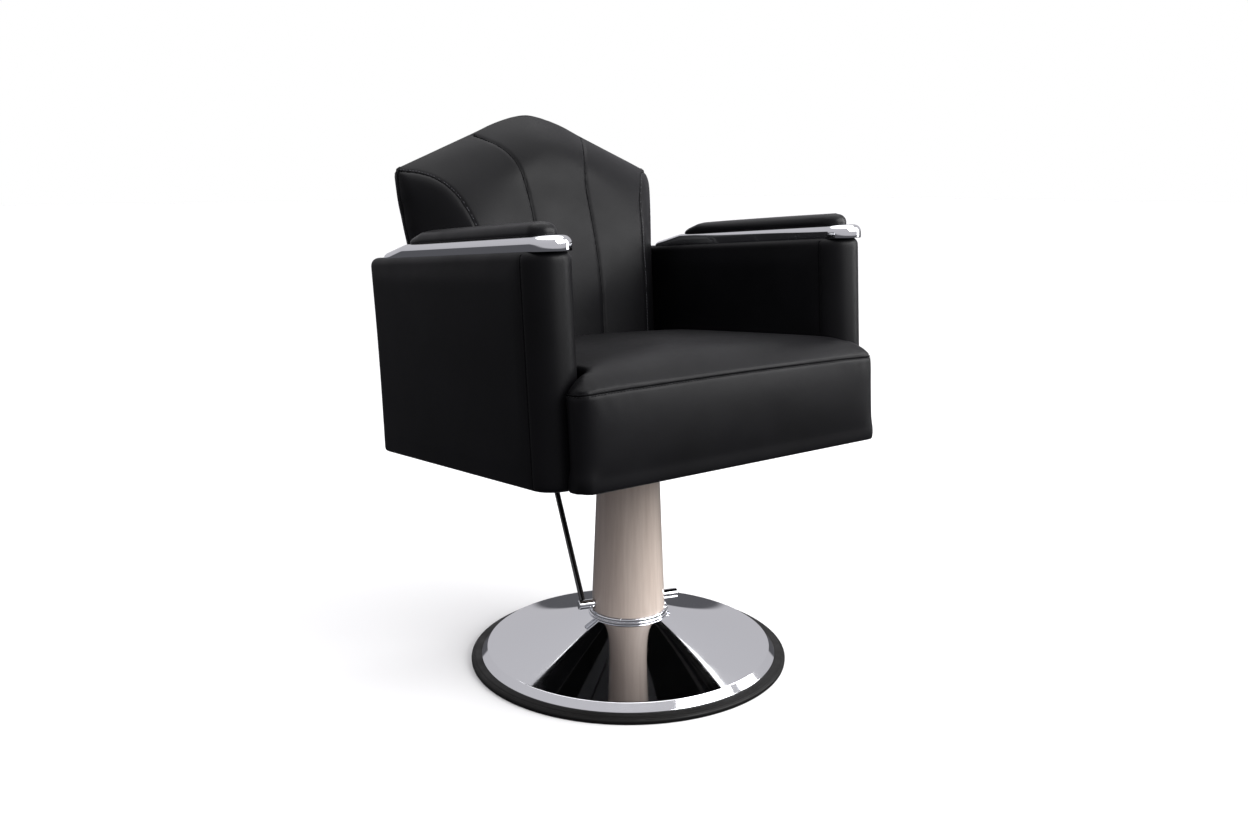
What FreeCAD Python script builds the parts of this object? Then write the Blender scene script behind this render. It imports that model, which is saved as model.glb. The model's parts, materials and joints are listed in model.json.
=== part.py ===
import FreeCAD, Part
import os
import re
import Sketcher

# Styling chair for a hair salon, in millimetres.
# Origin: centre of the round base, on the floor. +Z is up and the sitter faces -Y.
# The pump and its cross shaft are turned about Z against the seat by base_turn.
# Everything above the swivel hub is modelled level, with its underside at Z = 0,
# and is then lifted onto the hub and leaned back by seat_lean.

document = FreeCAD.newDocument("styling_chair")
sheet = document.addObject("Spreadsheet::Sheet", "Sizes")

SIZES = (
    ("running_gap", 0.05, "radial clearance of a shaft in its bore"),
    ("soft_gap", 0.4, "air between padded pieces that only lie side by side"),
    ("base_turn", 16.8, "turn of the pump about Z against the seat, degrees"),
    # floor ring and dish
    ("floor_ring_radius", 295, "outer radius of the rubber ring"),
    ("floor_ring_width", 40, "outer to inner radius of the rubber ring"),
    ("floor_ring_side", 7, "height of the ring's upright outer side"),
    ("floor_ring_height", 12.5, "full height where the ring grips the dish"),
    ("ring_round_in", 5.5, "outer side to the middle of the ring's rounded shoulder"),
    ("ring_round_drop", 1, "full height down to that point"),
    ("floor_ring_lip", 3, "rubber under the steel plate"),
    ("dish_rim_radius", 275.5, "outer radius of the chrome dish"),
    ("dish_rim_height", 13.3, "top of the dish's upright rim"),
    ("dish_edge_radius", 264.2, "where the bevel meets the cone"),
    ("dish_edge_height", 26, "height of that edge"),
    ("dish_ledge", 1.3, "flat crown that shows outside the collar"),
    ("dish_crown_height", 83, "height of the crown"),
    ("dish_sag", 3.2, "how far the cone dips below a straight line"),
    ("dish_wall", 2.5, "sheet thickness of the dish"),
    ("dish_mouth_gap", 4, "pump body to the dish's hole"),
    ("plate_thickness", 8, "steel base plate"),
    ("plate_gap", 0.5, "base plate edge to the dish's rim"),
    # column
    ("column_foot_radius", 68.9, "outer radius at the crown"),
    ("column_top_radius", 56.9, "outer radius at the top"),
    ("column_top_height", 361, "top of the column cover"),
    ("column_wall", 3, "wall of the column cover"),
    ("collar_radius", 73.5, "outer radius of the chrome collar"),
    ("collar_height", 12, "height of the chrome collar"),
    ("collar_step", 1.2, "step at the collar's foot and its edge break"),
    ("cap_thickness", 3, "black cap on the column"),
    ("cap_edge", 1, "bevel of the cap"),
    ("cap_spigot", 6, "depth of the cap's spigot"),
    ("cap_mouth_gap", 3, "ram to the cap's hole"),
    # pump
    ("pump_flange_radius", 88, "flange bolted to the base plate"),
    ("pump_flange_thickness", 10, "thickness of that flange"),
    ("pump_bolt_circle", 72, "radius of its bolt circle"),
    ("pump_bolt_radius", 5, "shank radius"),
    ("pump_body_radius", 54, "cast pump body"),
    ("pump_window_half", 18, "half width of the window for the cam"),
    ("pump_window_floor", 84, "height of the window's floor"),
    ("pump_body_top", 124, "top face, under the cylinder"),
    ("cylinder_radius", 34, "outer radius of the oil cylinder"),
    ("cylinder_bore", 24, "bore radius"),
    ("cylinder_floor", 8, "thickness of the closed end"),
    ("cylinder_flange_setback", 2, "pump body to the edge of the foot flange"),
    ("cylinder_flange_thickness", 10, "its thickness"),
    ("gland_headroom", 11, "gland nut to the column's cap"),
    ("cylinder_screw_turn", 38, "flange screws from the line of the shaft, degrees"),
    ("cylinder_screw_radius", 3, "shank radius"),
    ("gland_wall", 7, "wall of the gland nut"),
    ("gland_skirt", 18, "skirt over the tube"),
    ("gland_cap", 10, "height above the tube"),
    ("seal_height", 6, "ram seal"),
    ("bush_length", 50, "bronze guide of the ram"),
    ("shaft_height", 106, "height of the pump's cross shaft"),
    ("shaft_radius", 9, "its radius"),
    ("shaft_reach", 29.1, "how far the shaft stands out of the column's foot radius"),
    ("shaft_hole_gap", 1, "shaft to the hole in the column cover"),
    ("shaft_bush_wall", 2.5, "wall of the shaft's bushes"),
    ("shaft_bush_setback", 4, "pump body to the outer end of a bush"),
    ("shaft_chamfer", 1.2, "edge break of the shaft"),
    ("cam_throw", 22, "shaft centre to lobe centre"),
    ("cam_rest_angle", 12.5, "lobe above level at rest, degrees"),
    ("cam_hub_radius", 12, "hub on the shaft"),
    ("cam_lobe_radius", 7, "rounded lobe"),
    ("cam_web_half", 4, "half thickness of the web"),
    ("cam_half_width", 10, "half width along the shaft"),
    ("cam_gap", 0.3, "lobe to plunger at rest"),
    ("plunger_radius", 7, "stem"),
    ("plunger_head_radius", 9.5, "head"),
    ("plunger_head_height", 4, "head thickness"),
    ("plunger_foot_height", 50, "lowest point at rest"),
    ("plunger_bore_foot", 36, "bottom of its bore"),
    ("spring_wire", 0.75, "wire radius of the return spring"),
    ("spring_gap", 0.3, "stem to the inside of the spring"),
    ("spring_pitch", 4.6, "rise for each turn"),
    # lever
    ("lever_end_margin", 9.5, "lever to the end of the shaft"),
    ("lever_radius", 5.3, "rod radius"),
    ("lever_rise", 46.6, "rod above level at rest, degrees"),
    ("lever_length", 250, "shaft centre to the corner of the bend"),
    ("lever_bend_radius", 32, "centreline radius of the bend"),
    ("lever_end_rise", 8, "last stretch above level, degrees"),
    ("lever_end_length", 92, "corner of the bend to the tip"),
    ("pedal_radius", 11.5, "rubber sleeve"),
    ("pedal_length", 74, "its length"),
    ("pedal_end", 4, "rubber beyond the tip"),
    ("pedal_edge", 1, "edge break of the sleeve"),
    ("set_screw_radius", 3, "screw that clamps the rod"),
    # ram
    ("ram_radius", 18, "polished ram"),
    ("shoulder_gap", 4, "column cap to the ram's shoulder at rest"),
    ("ram_floor_gap", 0.3, "piston to the cylinder's floor at rest"),
    ("piston_height", 14, "piston"),
    ("piston_stub_radius", 10, "ram's stub in the piston"),
    ("piston_groove_depth", 3, "groove for the piston seal"),
    ("piston_groove_height", 5, "its height"),
    ("spigot_radius", 15, "ram's spigot in the hub"),
    ("spigot_height", 26, "its height"),
    ("spigot_neck_depth", 2, "groove for the lock screw"),
    ("spigot_neck_start", 11, "shoulder to the groove"),
    ("spigot_neck_height", 9, "its height"),
    ("bearing_thickness", 3.7, "thrust washer"),
    ("bearing_radius", 25, "its radius"),
    # hub, plate and bars
    ("hub_radius", 32, "swivel hub"),
    ("hub_gap", 0.3, "washer to hub"),
    ("hub_roof", 2, "spigot to the top of the hub's bore"),
    ("hub_top_wall", 5, "hub's bore to the seat plate on the column's axis"),
    ("lock_gap", 0.5, "lock screw to the bottom of the groove"),
    ("lock_screw_radius", 4, "lock screw"),
    ("mount_plate_half", 90, "half side of the seat plate"),
    ("mount_plate_thickness", 6, "its thickness"),
    ("mount_bolt_edge", 20, "bolt from the plate's edges"),
    ("mount_bolt_radius", 4, "shank radius"),
    ("seat_lean", 4.3, "backward lean of the seat, degrees"),
    ("bar_width", 36, "steel cross bar"),
    ("bar_thickness", 5, "its thickness"),
    ("bar_front", -130, "centre of the front bar"),
    ("bar_rear", 115, "centre of the rear bar"),
    ("bar_board_screw", 170, "screw into the board, from the middle"),
    ("wood_screw_radius", 2.5, "wood screw"),
    ("wood_screw_depth", 16, "how far it goes in"),
    ("screw_tip_gap", 1, "screw tip to the bottom of its hole"),
    ("hex_head_spread", 1.9, "corner radius of a hexagon head over the shank's radius"),
    ("hex_head_rise", 1.3, "height of a hexagon head over the shank's radius"),
    ("round_head_spread", 1.7, "radius of a cap screw's head over the shank's radius"),
    # seat
    ("sitting_half_width", 265.2, "middle to the arm's inner face"),
    ("board_thickness", 18, "plywood seat board"),
    ("board_front_setback", 23.4, "arm's nose to the board's front edge"),
    ("board_rear", 205, "its rear edge"),
    ("seat_lip_side", 50.4, "front lip beyond the arm's inner face"),
    ("seat_lip_reach", 48.2, "front lip before the arm's nose"),
    ("seat_seam_height", 148, "welt round the box"),
    ("seat_shoulder_rise", 36, "welt to where the crown begins"),
    ("seat_crown_rise", 44, "welt to the top in the middle"),
    ("seat_roll", 74, "run of the rounded shoulder at the sides"),
    ("seat_roll_mid_run", 26.6, "a point on it, in from the side"),
    ("seat_roll_mid_rise", 26.3, "its rise above the welt"),
    ("seat_front_run", 148, "run of the rounded front"),
    ("seat_front_mid_run", 29.6, "a point on it, back from the front"),
    ("seat_front_mid_rise", 28.8, "its rise above the welt"),
    ("dust_cover_thickness", 1.2, "black cloth under the seat"),
    ("dust_cover_gap", 4, "cloth to the steel parts"),
    # arms
    ("arm_thickness", 82.9, "padded arm"),
    ("arm_front", -268.4, "front of its round nose"),
    ("arm_rear", 301.3, "rear face"),
    ("arm_height", 354.5, "top face"),
    ("arm_corner_radius", 22, "rear corners"),
    ("arm_edge_radius", 12, "top edge"),
    ("arm_frame_thickness", 40, "plywood arm frame"),
    ("arm_frame_margin", 24, "padding before and behind the frame"),
    ("trim_inset", 8, "arm's side to the chrome top"),
    ("trim_overhang", 9.9, "chrome top before the arm's nose"),
    ("trim_thickness", 20.5, "its thickness"),
    ("trim_slope_run", 78, "length of its rear slope"),
    ("trim_rear_setback", 51.3, "its rear end to the arm's rear face"),
    ("trim_rear_thickness", 7, "thickness at the rear end"),
    ("trim_wall", 3, "wall of the pressed chrome top"),
    ("pad_inset", 17, "arm's side to the arm pad"),
    ("pad_nose_setback", 20.4, "front of the pad behind the arm's nose"),
    ("pad_thickness", 19.5, "its thickness"),
    ("pad_slope_run", 47, "length of the pad's rear slope"),
    ("pad_rear_thickness", 6, "thickness at the rear end"),
    # back
    ("back_front", 150, "face of the lower back"),
    ("back_bend_drop", 336.5, "peak to where the face starts to lean"),
    ("back_face_mid", 165, "face halfway up the lean"),
    ("back_face_mid_drop", 244.5, "peak to that point"),
    ("back_face_top", 195, "face where the top roll begins"),
    ("back_face_top_drop", 130.5, "peak to that point"),
    ("back_roll_mid", 218, "point on the top roll"),
    ("back_roll_mid_drop", 54.5, "peak to that point"),
    ("back_ridge", 285, "where the top roll ends"),
    ("back_peak_rise", 104.5, "corners to the highest point"),
    ("back_rear", 318, "rear face"),
    ("back_rear_round", 18, "rounding of the rear top edge"),
    ("back_corner_side", 18.8, "corner beyond the arm's inner face"),
    ("back_corner_rise", 157.5, "arm's top to the corners"),
    ("back_shoulder_half", 113, "middle to the foot of the crest"),
    ("back_shoulder_drop", 34.5, "peak to the foot of the crest"),
    ("back_crest_half", 60, "point on the crest's side"),
    ("back_crest_drop", 12.5, "peak to that point"),
    ("back_side_rise", 76.5, "arm's top to a point on the side"),
    ("back_side_out", 11.8, "that point beyond the arm's inner face"),
    ("back_face_half", 175, "half width of the flat face"),
    ("back_wing_spread", 156, "how far a wing spreads over the depth of the back"),
    ("rear_panel_thickness", 30, "padded rear panel"),
    ("back_board_thickness", 15, "plywood in the back"),
    ("back_board_inset", 50.2, "arm's inner face to its edge"),
    ("back_board_foot", 20, "lower edge"),
    ("back_board_drop", 161.5, "peak to its upper edge"),
    ("bracket_x", 150, "back bracket from the middle"),
    ("bracket_width", 40, "its width"),
    ("bracket_thickness", 5, "its thickness"),
    ("bracket_bar_gap", 7, "rear bar to the front end of the foot"),
    ("bracket_screw_first", 10, "front end to the first screw"),
    ("bracket_screw_second", 40, "front end to the second screw"),
    ("bracket_top", 200, "top of the upright leg"),
    ("bracket_screw_low", 60, "lower screw of the leg"),
    ("bracket_screw_high", 170, "upper screw of the leg"),
    ("bracket_pocket_depth", 7, "room in the panel behind a bracket, for the screw heads"),
    ("bracket_pocket_gap", 1, "room beside a bracket"),
    ("screw_head_radius", 6, "head of a wood screw"),
    ("screw_head_height", 4, "its height"),
    ("back_screw_web", 3, "wood left under a screw in the back board"),
    ("stock_length", 1600, "stock that the padded shapes are carved from"),
)
for row, (alias, number, note) in enumerate(SIZES, start=1):
    sheet.set(f"A{row}", alias)
    sheet.set(f"B{row}", str(number))
    sheet.setAlias(f"B{row}", alias)
    sheet.set(f"C{row}", note)
document.recompute()

# Formulas used in more than one place
DISH_CROWN = "(collar_radius + collar_step + dish_ledge)"
DISH_MOUTH = "(pump_body_radius + dish_mouth_gap)"
COLUMN_TAPER = "(column_foot_radius - column_top_radius) / (column_top_height - dish_crown_height)"
PLATE_TOP = "(floor_ring_lip + plate_thickness)"
FLANGE_TOP = f"({PLATE_TOP} + pump_flange_thickness)"
CYLINDER_TOP = "(column_top_height - gland_headroom - gland_cap)"
CYLINDER_FLANGE = "(pump_body_radius - cylinder_flange_setback)"
SHAFT_HALF = "(column_foot_radius + shaft_reach)"
LEVER_X = f"({SHAFT_HALF} - lever_end_margin)"
CYLINDER_FLOOR_TOP = "(pump_body_top + cylinder_floor)"
PISTON_FOOT = f"({CYLINDER_FLOOR_TOP} + ram_floor_gap)"
LOBE_Y = "cam_throw * cos(cam_rest_angle)"
LOBE_Z = "(shaft_height + cam_throw * sin(cam_rest_angle))"
PLUNGER_TOP = f"({LOBE_Z} - cam_lobe_radius - cam_gap)"
ARM_MIDDLE = "(sitting_half_width + arm_thickness / 2)"
SEAT_REAR = "(back_front - soft_gap)"
PANEL_FACE = "(back_rear - rear_panel_thickness)"
SHOULDER = "(column_top_height + cap_thickness + shoulder_gap)"
HUB_FOOT = f"({SHOULDER} + bearing_thickness + hub_gap)"
HUB_BORE_TOP = f"({SHOULDER} + spigot_height + hub_roof)"
SEAT_PLANE = f"({HUB_BORE_TOP} + hub_top_wall + mount_plate_thickness)"
SEAT_TOP = "(seat_seam_height + seat_crown_rise)"
BACK_CORNER = "(sitting_half_width + back_corner_side)"
BACK_CORNER_Z = "(arm_height + back_corner_rise)"
BACK_PEAK = f"({BACK_CORNER_Z} + back_peak_rise)"


def bound(formula):
    """The formula with each named size read from the sheet."""
    return re.sub(r"[a-z]+_[a-z_]+", lambda name: "Sizes." + name.group(0), formula)


def size(formula):
    """The number that a formula of named sizes gives now."""
    return float(sheet.evalExpression(bound(formula)))


def bind(item, **formulas):
    """Bind properties of an object to formulas."""
    for name, formula in formulas.items():
        item.setExpression(name, bound(formula))


def put(item, x="0", y="0", z="0", axis=(0, 0, 1), turn="0", slot="Placement"):
    """Move an object by formulas and turn it about an axis."""
    base = FreeCAD.Vector(size(x), size(y), size(z))
    rotation = FreeCAD.Rotation(FreeCAD.Vector(*axis), size(turn))
    setattr(item, slot, FreeCAD.Placement(base, rotation))
    for name, formula in (("x", x), ("y", y), ("z", z)):
        item.setExpression(f"{slot}.Base.{name}", bound(formula))
    if turn != "0":
        item.setExpression(f"{slot}.Rotation.Angle", bound(turn))
    return item


def with_pump(item, x="0", y="0", z="0"):
    """Place a piece in the pump's turned frame."""
    along = f"({x}) * cos(base_turn) + ({y}) * sin(base_turn)"
    across = f"({y}) * cos(base_turn) - ({x}) * sin(base_turn)"
    return put(item, along, across, z, (0, 0, -1), "base_turn")


def with_seat(item):
    """Place a piece in the raised, leaned seat frame."""
    return put(item, "0", "0", SEAT_PLANE, (-1, 0, 0), "seat_lean")


def fix_point(sketch, geometry, end, u, v):
    """Hold a sketch point at two formulas."""
    for kind, axis, formula in (("DistanceX", -2, u), ("DistanceY", -1, v)):
        if formula == "0":
            sketch.addConstraint(Sketcher.Constraint("PointOnObject", geometry, end, axis))
        else:
            rule = Sketcher.Constraint(kind, -1, 1, geometry, end, size(formula))
            index = sketch.addConstraint(rule)
            sketch.setExpression(f"Constraints[{index}]", bound(formula))


def draw(sketch, corners):
    """Draw a closed outline. A corner of four formulas ends an arc through its last two."""
    points = [FreeCAD.Vector(size(corner[0]), size(corner[1]), 0) for corner in corners]
    edges = []
    for index, start in enumerate(points):
        target = (index + 1) % len(points)
        if len(corners[target]) == 2:
            edges.append((sketch.addGeometry(Part.LineSegment(start, points[target]), False), 1))
            continue
        through = corners[target][2:]
        middle = FreeCAD.Vector(size(through[0]), size(through[1]), 0)
        edge = sketch.addGeometry(Part.Arc(start, middle, points[target]), False)
        mark = sketch.addGeometry(Part.Point(middle), True)
        fix_point(sketch, mark, 1, *through)
        sketch.addConstraint(Sketcher.Constraint("PointOnObject", mark, 1, edge))
        first = 1 if sketch.getPoint(edge, 1).distanceToPoint(start) < 1e-6 else 2
        edges.append((edge, first))
    for index, (edge, first) in enumerate(edges):
        fix_point(sketch, edge, first, *corners[index][:2])
        later, start = edges[(index + 1) % len(edges)]
        sketch.addConstraint(Sketcher.Constraint("Coincident", edge, 3 - first, later, start))
    return sketch


def mirrored(half):
    """Both halves of an outline that is symmetric about its second axis and starts on it."""
    whole = list(half)
    for index in range(len(half) - 1, 0, -1):
        corner = half[index]
        if corner[0] == "0":
            continue
        flipped = (f"-({corner[0]})", corner[1])
        if index + 1 < len(half) and len(half[index + 1]) == 4:
            through = half[index + 1][2:]
            flipped += (f"-({through[0]})", through[1])
        whole.append(flipped)
    if len(half[1]) == 4:
        through = half[1][2:]
        whole[0] = whole[0][:2] + (f"-({through[0]})", through[1])
    return whole


def new_body(label):
    """An empty PartDesign body."""
    body = document.addObject("PartDesign::Body", label)
    body.Label = label
    return body


def origin_plane(body, role):
    """One of the body's own origin planes."""
    return next(item for item in body.Origin.OriginFeatures if item.Role == role)


def body_sketch(body, name, role, corners):
    """A sketch of an outline on one of the body's origin planes."""
    sketch = body.newObject("Sketcher::SketchObject", name)
    sketch.AttachmentSupport = [(origin_plane(body, role), "")]
    sketch.MapMode = "FlatFace"
    return draw(sketch, corners)


def turned(label, corners, about="V_Axis"):
    """A turned piece: radius and height corners, or length and radius when about the H axis."""
    body = new_body(label)
    sketch = body_sketch(body, label + "_profile", "XZ_Plane", corners)
    feature = body.newObject("PartDesign::Revolution", label + "_turning")
    feature.Profile = sketch
    feature.ReferenceAxis = (sketch, [about])
    feature.Angle = 360
    return body


def stand_on(body, item, x, y, z, axis, turn):
    """Attach a primitive to the body's XY plane at a place given by formulas."""
    item.AttachmentSupport = [(origin_plane(body, "XY_Plane"), "")]
    item.MapMode = "FlatFace"
    return put(item, x, y, z, axis, turn, "AttachmentOffset")


def bore(body, name, radius, length, x="0", y="0", z="0", axis=(0, 0, 1), turn="0"):
    """Drill a round hole in a body."""
    hole = body.newObject("PartDesign::SubtractiveCylinder", name)
    bind(hole, Radius=radius, Height=length)
    return stand_on(body, hole, x, y, z, axis, turn)


def block_in(body, kind, name, low, high):
    """Add or cut a block of a body between two corners of formulas."""
    block = body.newObject(f"PartDesign::{kind}Box", name)
    spans = [f"({far}) - ({near})" for near, far in zip(low, high)]
    bind(block, Length=spans[0], Width=spans[1], Height=spans[2])
    return stand_on(body, block, *low, (0, 0, 1), "0")


def box(name, low, high):
    """A free block between two corners of formulas."""
    item = document.addObject("Part::Box", name)
    spans = [f"({far}) - ({near})" for near, far in zip(low, high)]
    bind(item, Length=spans[0], Width=spans[1], Height=spans[2])
    return put(item, *low)


def cylinder(name, radius, length, x="0", y="0", z="0", axis=(0, 0, 1), turn="0"):
    """A free cylinder."""
    item = document.addObject("Part::Cylinder", name)
    bind(item, Radius=radius, Height=length)
    return put(item, x, y, z, axis, turn)


def joined(kind, label, items):
    """Part::MultiFuse, Part::MultiCommon or Part::Compound of several objects."""
    item = document.addObject(kind, label)
    setattr(item, "Links" if kind == "Part::Compound" else "Shapes", items)
    item.Label = label
    return item


def cut(label, base, tools):
    """The base with every tool taken away."""
    item = document.addObject("Part::Cut", label)
    item.Base = base
    item.Tool = tools[0] if len(tools) == 1 else joined("Part::MultiFuse", label + "_tools", tools)
    item.Label = label
    return item


VIEWS = {
    "plan": FreeCAD.Rotation(),
    "front": FreeCAD.Rotation(FreeCAD.Vector(1, 0, 0), 90),
    "side": FreeCAD.Rotation(FreeCAD.Vector(1, 1, 1), 120),
}


def carved(label, **outlines):
    """What is inside every outline: plan (X, Y), front (X, Z) and side (Y, Z)."""
    stocks = []
    for view, corners in outlines.items():
        sketch = document.addObject("Sketcher::SketchObject", f"{label}_{view}")
        sketch.Placement = FreeCAD.Placement(FreeCAD.Vector(), VIEWS[view])
        draw(sketch, corners)
        stock = document.addObject("Part::Extrusion", f"{label}_{view}_stock")
        stock.Base = sketch
        stock.DirMode = "Normal"
        stock.Solid = True
        stock.Symmetric = True
        bind(stock, LengthFwd="stock_length")
        stocks.append(stock)
    return joined("Part::MultiCommon", label, stocks)


def screws(label, places, shank, length, head, head_height, hexagonal=False):
    """Alike screws as one node. A place is x, y, z of the seat of the head, axis and turn."""
    pieces = []
    for index, place in enumerate(places):
        rod = cylinder(f"{label}_shank_{index}", shank, length)
        if hexagonal:
            top = document.addObject("Part::Prism", f"{label}_head_{index}")
            bind(top, Circumradius=head, Height=head_height)
            put(top, z=f"-({head_height})")
        else:
            top = cylinder(f"{label}_head_{index}", head, head_height, z=f"-({head_height})")
        screw = joined("Part::MultiFuse", f"{label}_{index}", [rod, top])
        pieces.append(put(screw, *place))
    return joined("Part::Compound", label, pieces)


nodes = []


def keep(item):
    """Count an object as one of the chair's pieces."""
    nodes.append(item)
    return item


UPSIDE_DOWN = ((1, 0, 0), "180")
ALONG_SHAFT = ((0, 1, 0), "90")
ALONG_DEPTH = ((1, 0, 0), "-90")
CORNERS = ((-1, -1), (1, -1), (1, 1), (-1, 1))
SIDES = (("left", -1), ("right", 1))

# ---------------------------------------------------------------- floor ring, plate and dish
RING_INNER = "floor_ring_radius - floor_ring_width"
keep(turned("floor_ring", [
    (RING_INNER, "0"),
    ("floor_ring_radius", "0"),
    ("floor_ring_radius", "floor_ring_side"),
    ("dish_rim_radius", "floor_ring_height",
     "floor_ring_radius - ring_round_in", "floor_ring_height - ring_round_drop"),
    ("dish_rim_radius", "floor_ring_lip"),
    (RING_INNER, "floor_ring_lip"),
]))

PLATE_RADIUS = "dish_rim_radius - dish_wall - plate_gap"
base_plate = keep(turned("base_plate", [
    ("0", "floor_ring_lip"),
    (PLATE_RADIUS, "floor_ring_lip"),
    (PLATE_RADIUS, PLATE_TOP),
    ("0", PLATE_TOP),
]))
for index, (across, along) in enumerate(CORNERS):
    at = (f"{across} * pump_bolt_circle * cos(45)", f"{along} * pump_bolt_circle * sin(45)")
    bore(base_plate, f"plate_hole_{index}", "pump_bolt_radius", "plate_thickness", *at, "floor_ring_lip")
with_pump(base_plate)

CONE_MIDDLE = f"(dish_edge_radius + {DISH_CROWN}) / 2"
CONE_MIDDLE_Z = "(dish_edge_height + dish_crown_height) / 2 - dish_sag"
keep(turned("dish_cover", [
    (DISH_MOUTH, "dish_crown_height"),
    (DISH_CROWN, "dish_crown_height"),
    ("dish_edge_radius", "dish_edge_height", CONE_MIDDLE, CONE_MIDDLE_Z),
    ("dish_rim_radius", "dish_rim_height"),
    ("dish_rim_radius", "floor_ring_lip"),
    ("dish_rim_radius - dish_wall", "floor_ring_lip"),
    ("dish_rim_radius - dish_wall", "dish_rim_height - dish_wall / 2"),
    ("dish_edge_radius - dish_wall / 2", "dish_edge_height - dish_wall"),
    (f"{DISH_CROWN} - dish_wall / 2", "dish_crown_height - dish_wall",
     CONE_MIDDLE + " - dish_wall / 2", CONE_MIDDLE_Z + " - dish_wall"),
    (DISH_MOUTH, "dish_crown_height - dish_wall"),
]))

# ---------------------------------------------------------------- column
COLLAR_TOP = "dish_crown_height + collar_height"
keep(turned("column_collar", [
    ("column_foot_radius", "dish_crown_height"),
    ("collar_radius + collar_step", "dish_crown_height"),
    ("collar_radius + collar_step", "dish_crown_height + 2 * collar_step"),
    ("collar_radius", "dish_crown_height + 3 * collar_step"),
    ("collar_radius", f"{COLLAR_TOP} - collar_step"),
    ("collar_radius - collar_step", COLLAR_TOP),
    (f"column_foot_radius - collar_height * {COLUMN_TAPER}", COLLAR_TOP),
]))

column_cover = keep(turned("column_cover", [
    ("column_foot_radius - column_wall", "dish_crown_height"),
    ("column_foot_radius", "dish_crown_height"),
    ("column_top_radius", "column_top_height"),
    ("column_top_radius - column_wall", "column_top_height"),
]))
bore(column_cover, "shaft_opening", "shaft_radius + shaft_hole_gap", "4 * column_foot_radius",
     "-2 * column_foot_radius", "0", "shaft_height", *ALONG_SHAFT)
with_pump(column_cover)

CAP_MOUTH = "ram_radius + cap_mouth_gap"
SPIGOT_OUT = "column_top_radius - column_wall"
keep(turned("column_cap", [
    (CAP_MOUTH, "column_top_height"),
    (f"{SPIGOT_OUT} - cap_thickness", "column_top_height"),
    (f"{SPIGOT_OUT} - cap_thickness", "column_top_height - cap_spigot"),
    (SPIGOT_OUT, "column_top_height - cap_spigot"),
    (SPIGOT_OUT, "column_top_height"),
    ("column_top_radius", "column_top_height"),
    ("column_top_radius - cap_edge", "column_top_height + cap_thickness"),
    (CAP_MOUTH, "column_top_height + cap_thickness"),
]))

# ---------------------------------------------------------------- pump body and cylinder
SCREW_CIRCLE = f"(cylinder_radius + {CYLINDER_FLANGE}) / 2"
SCREW_X = f"{SCREW_CIRCLE} * cos(cylinder_screw_turn)"
SCREW_Y = f"{SCREW_CIRCLE} * sin(cylinder_screw_turn)"
pump_body = keep(turned("pump_body", [
    ("0", PLATE_TOP),
    ("pump_flange_radius", PLATE_TOP),
    ("pump_flange_radius", FLANGE_TOP),
    ("pump_body_radius", FLANGE_TOP),
    ("pump_body_radius", "pump_body_top"),
    ("0", "pump_body_top"),
]))
block_in(pump_body, "Subtractive", "cam_window",
         ("-pump_window_half", "-2 * pump_body_radius", "pump_window_floor"),
         ("pump_window_half", "2 * pump_body_radius", "pump_body_top"))
bore(pump_body, "shaft_seat", "shaft_radius + running_gap + shaft_bush_wall",
     "4 * pump_body_radius", "-2 * pump_body_radius", "0", "shaft_height", *ALONG_SHAFT)
bore(pump_body, "plunger_bore", "plunger_radius + running_gap",
     "pump_window_floor - plunger_bore_foot", "0", "cam_throw", "plunger_bore_foot")
for index, (across, along) in enumerate(CORNERS):
    at = (f"{across} * pump_bolt_circle * cos(45)", f"{along} * pump_bolt_circle * sin(45)")
    bore(pump_body, f"flange_hole_{index}", "pump_bolt_radius", "pump_flange_thickness", *at, PLATE_TOP)
    at = (f"{across} * {SCREW_X}", f"{along} * {SCREW_Y}")
    bore(pump_body, f"cylinder_tap_{index}", "cylinder_screw_radius",
         "cylinder_screw_radius * 2", *at, "pump_body_top - cylinder_screw_radius * 2")
with_pump(pump_body)

with_pump(keep(screws("pump_bolts", [
    (f"{across} * pump_bolt_circle * cos(45)", f"{along} * pump_bolt_circle * sin(45)",
     FLANGE_TOP, *UPSIDE_DOWN) for across, along in CORNERS
], "pump_bolt_radius", "pump_flange_thickness + plate_thickness",
    "pump_bolt_radius * hex_head_spread", "pump_bolt_radius * hex_head_rise", hexagonal=True)))

pump_cylinder = keep(turned("pump_cylinder", [
    ("0", "pump_body_top"),
    (CYLINDER_FLANGE, "pump_body_top"),
    (CYLINDER_FLANGE, "pump_body_top + cylinder_flange_thickness"),
    ("cylinder_radius", "pump_body_top + cylinder_flange_thickness"),
    ("cylinder_radius", CYLINDER_TOP),
    ("cylinder_bore", CYLINDER_TOP),
    ("cylinder_bore", CYLINDER_FLOOR_TOP),
    ("0", CYLINDER_FLOOR_TOP),
]))
for index, (across, along) in enumerate(CORNERS):
    at = (f"{across} * {SCREW_X}", f"{along} * {SCREW_Y}")
    bore(pump_cylinder, f"cylinder_hole_{index}", "cylinder_screw_radius",
         "cylinder_flange_thickness", *at, "pump_body_top")
with_pump(pump_cylinder)

with_pump(keep(screws("cylinder_screws", [
    (f"{across} * {SCREW_X}", f"{along} * {SCREW_Y}",
     "pump_body_top + cylinder_flange_thickness", *UPSIDE_DOWN) for across, along in CORNERS
], "cylinder_screw_radius", "cylinder_flange_thickness + cylinder_screw_radius * 2",
    "cylinder_screw_radius * round_head_spread", "cylinder_screw_radius * 2")))

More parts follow.
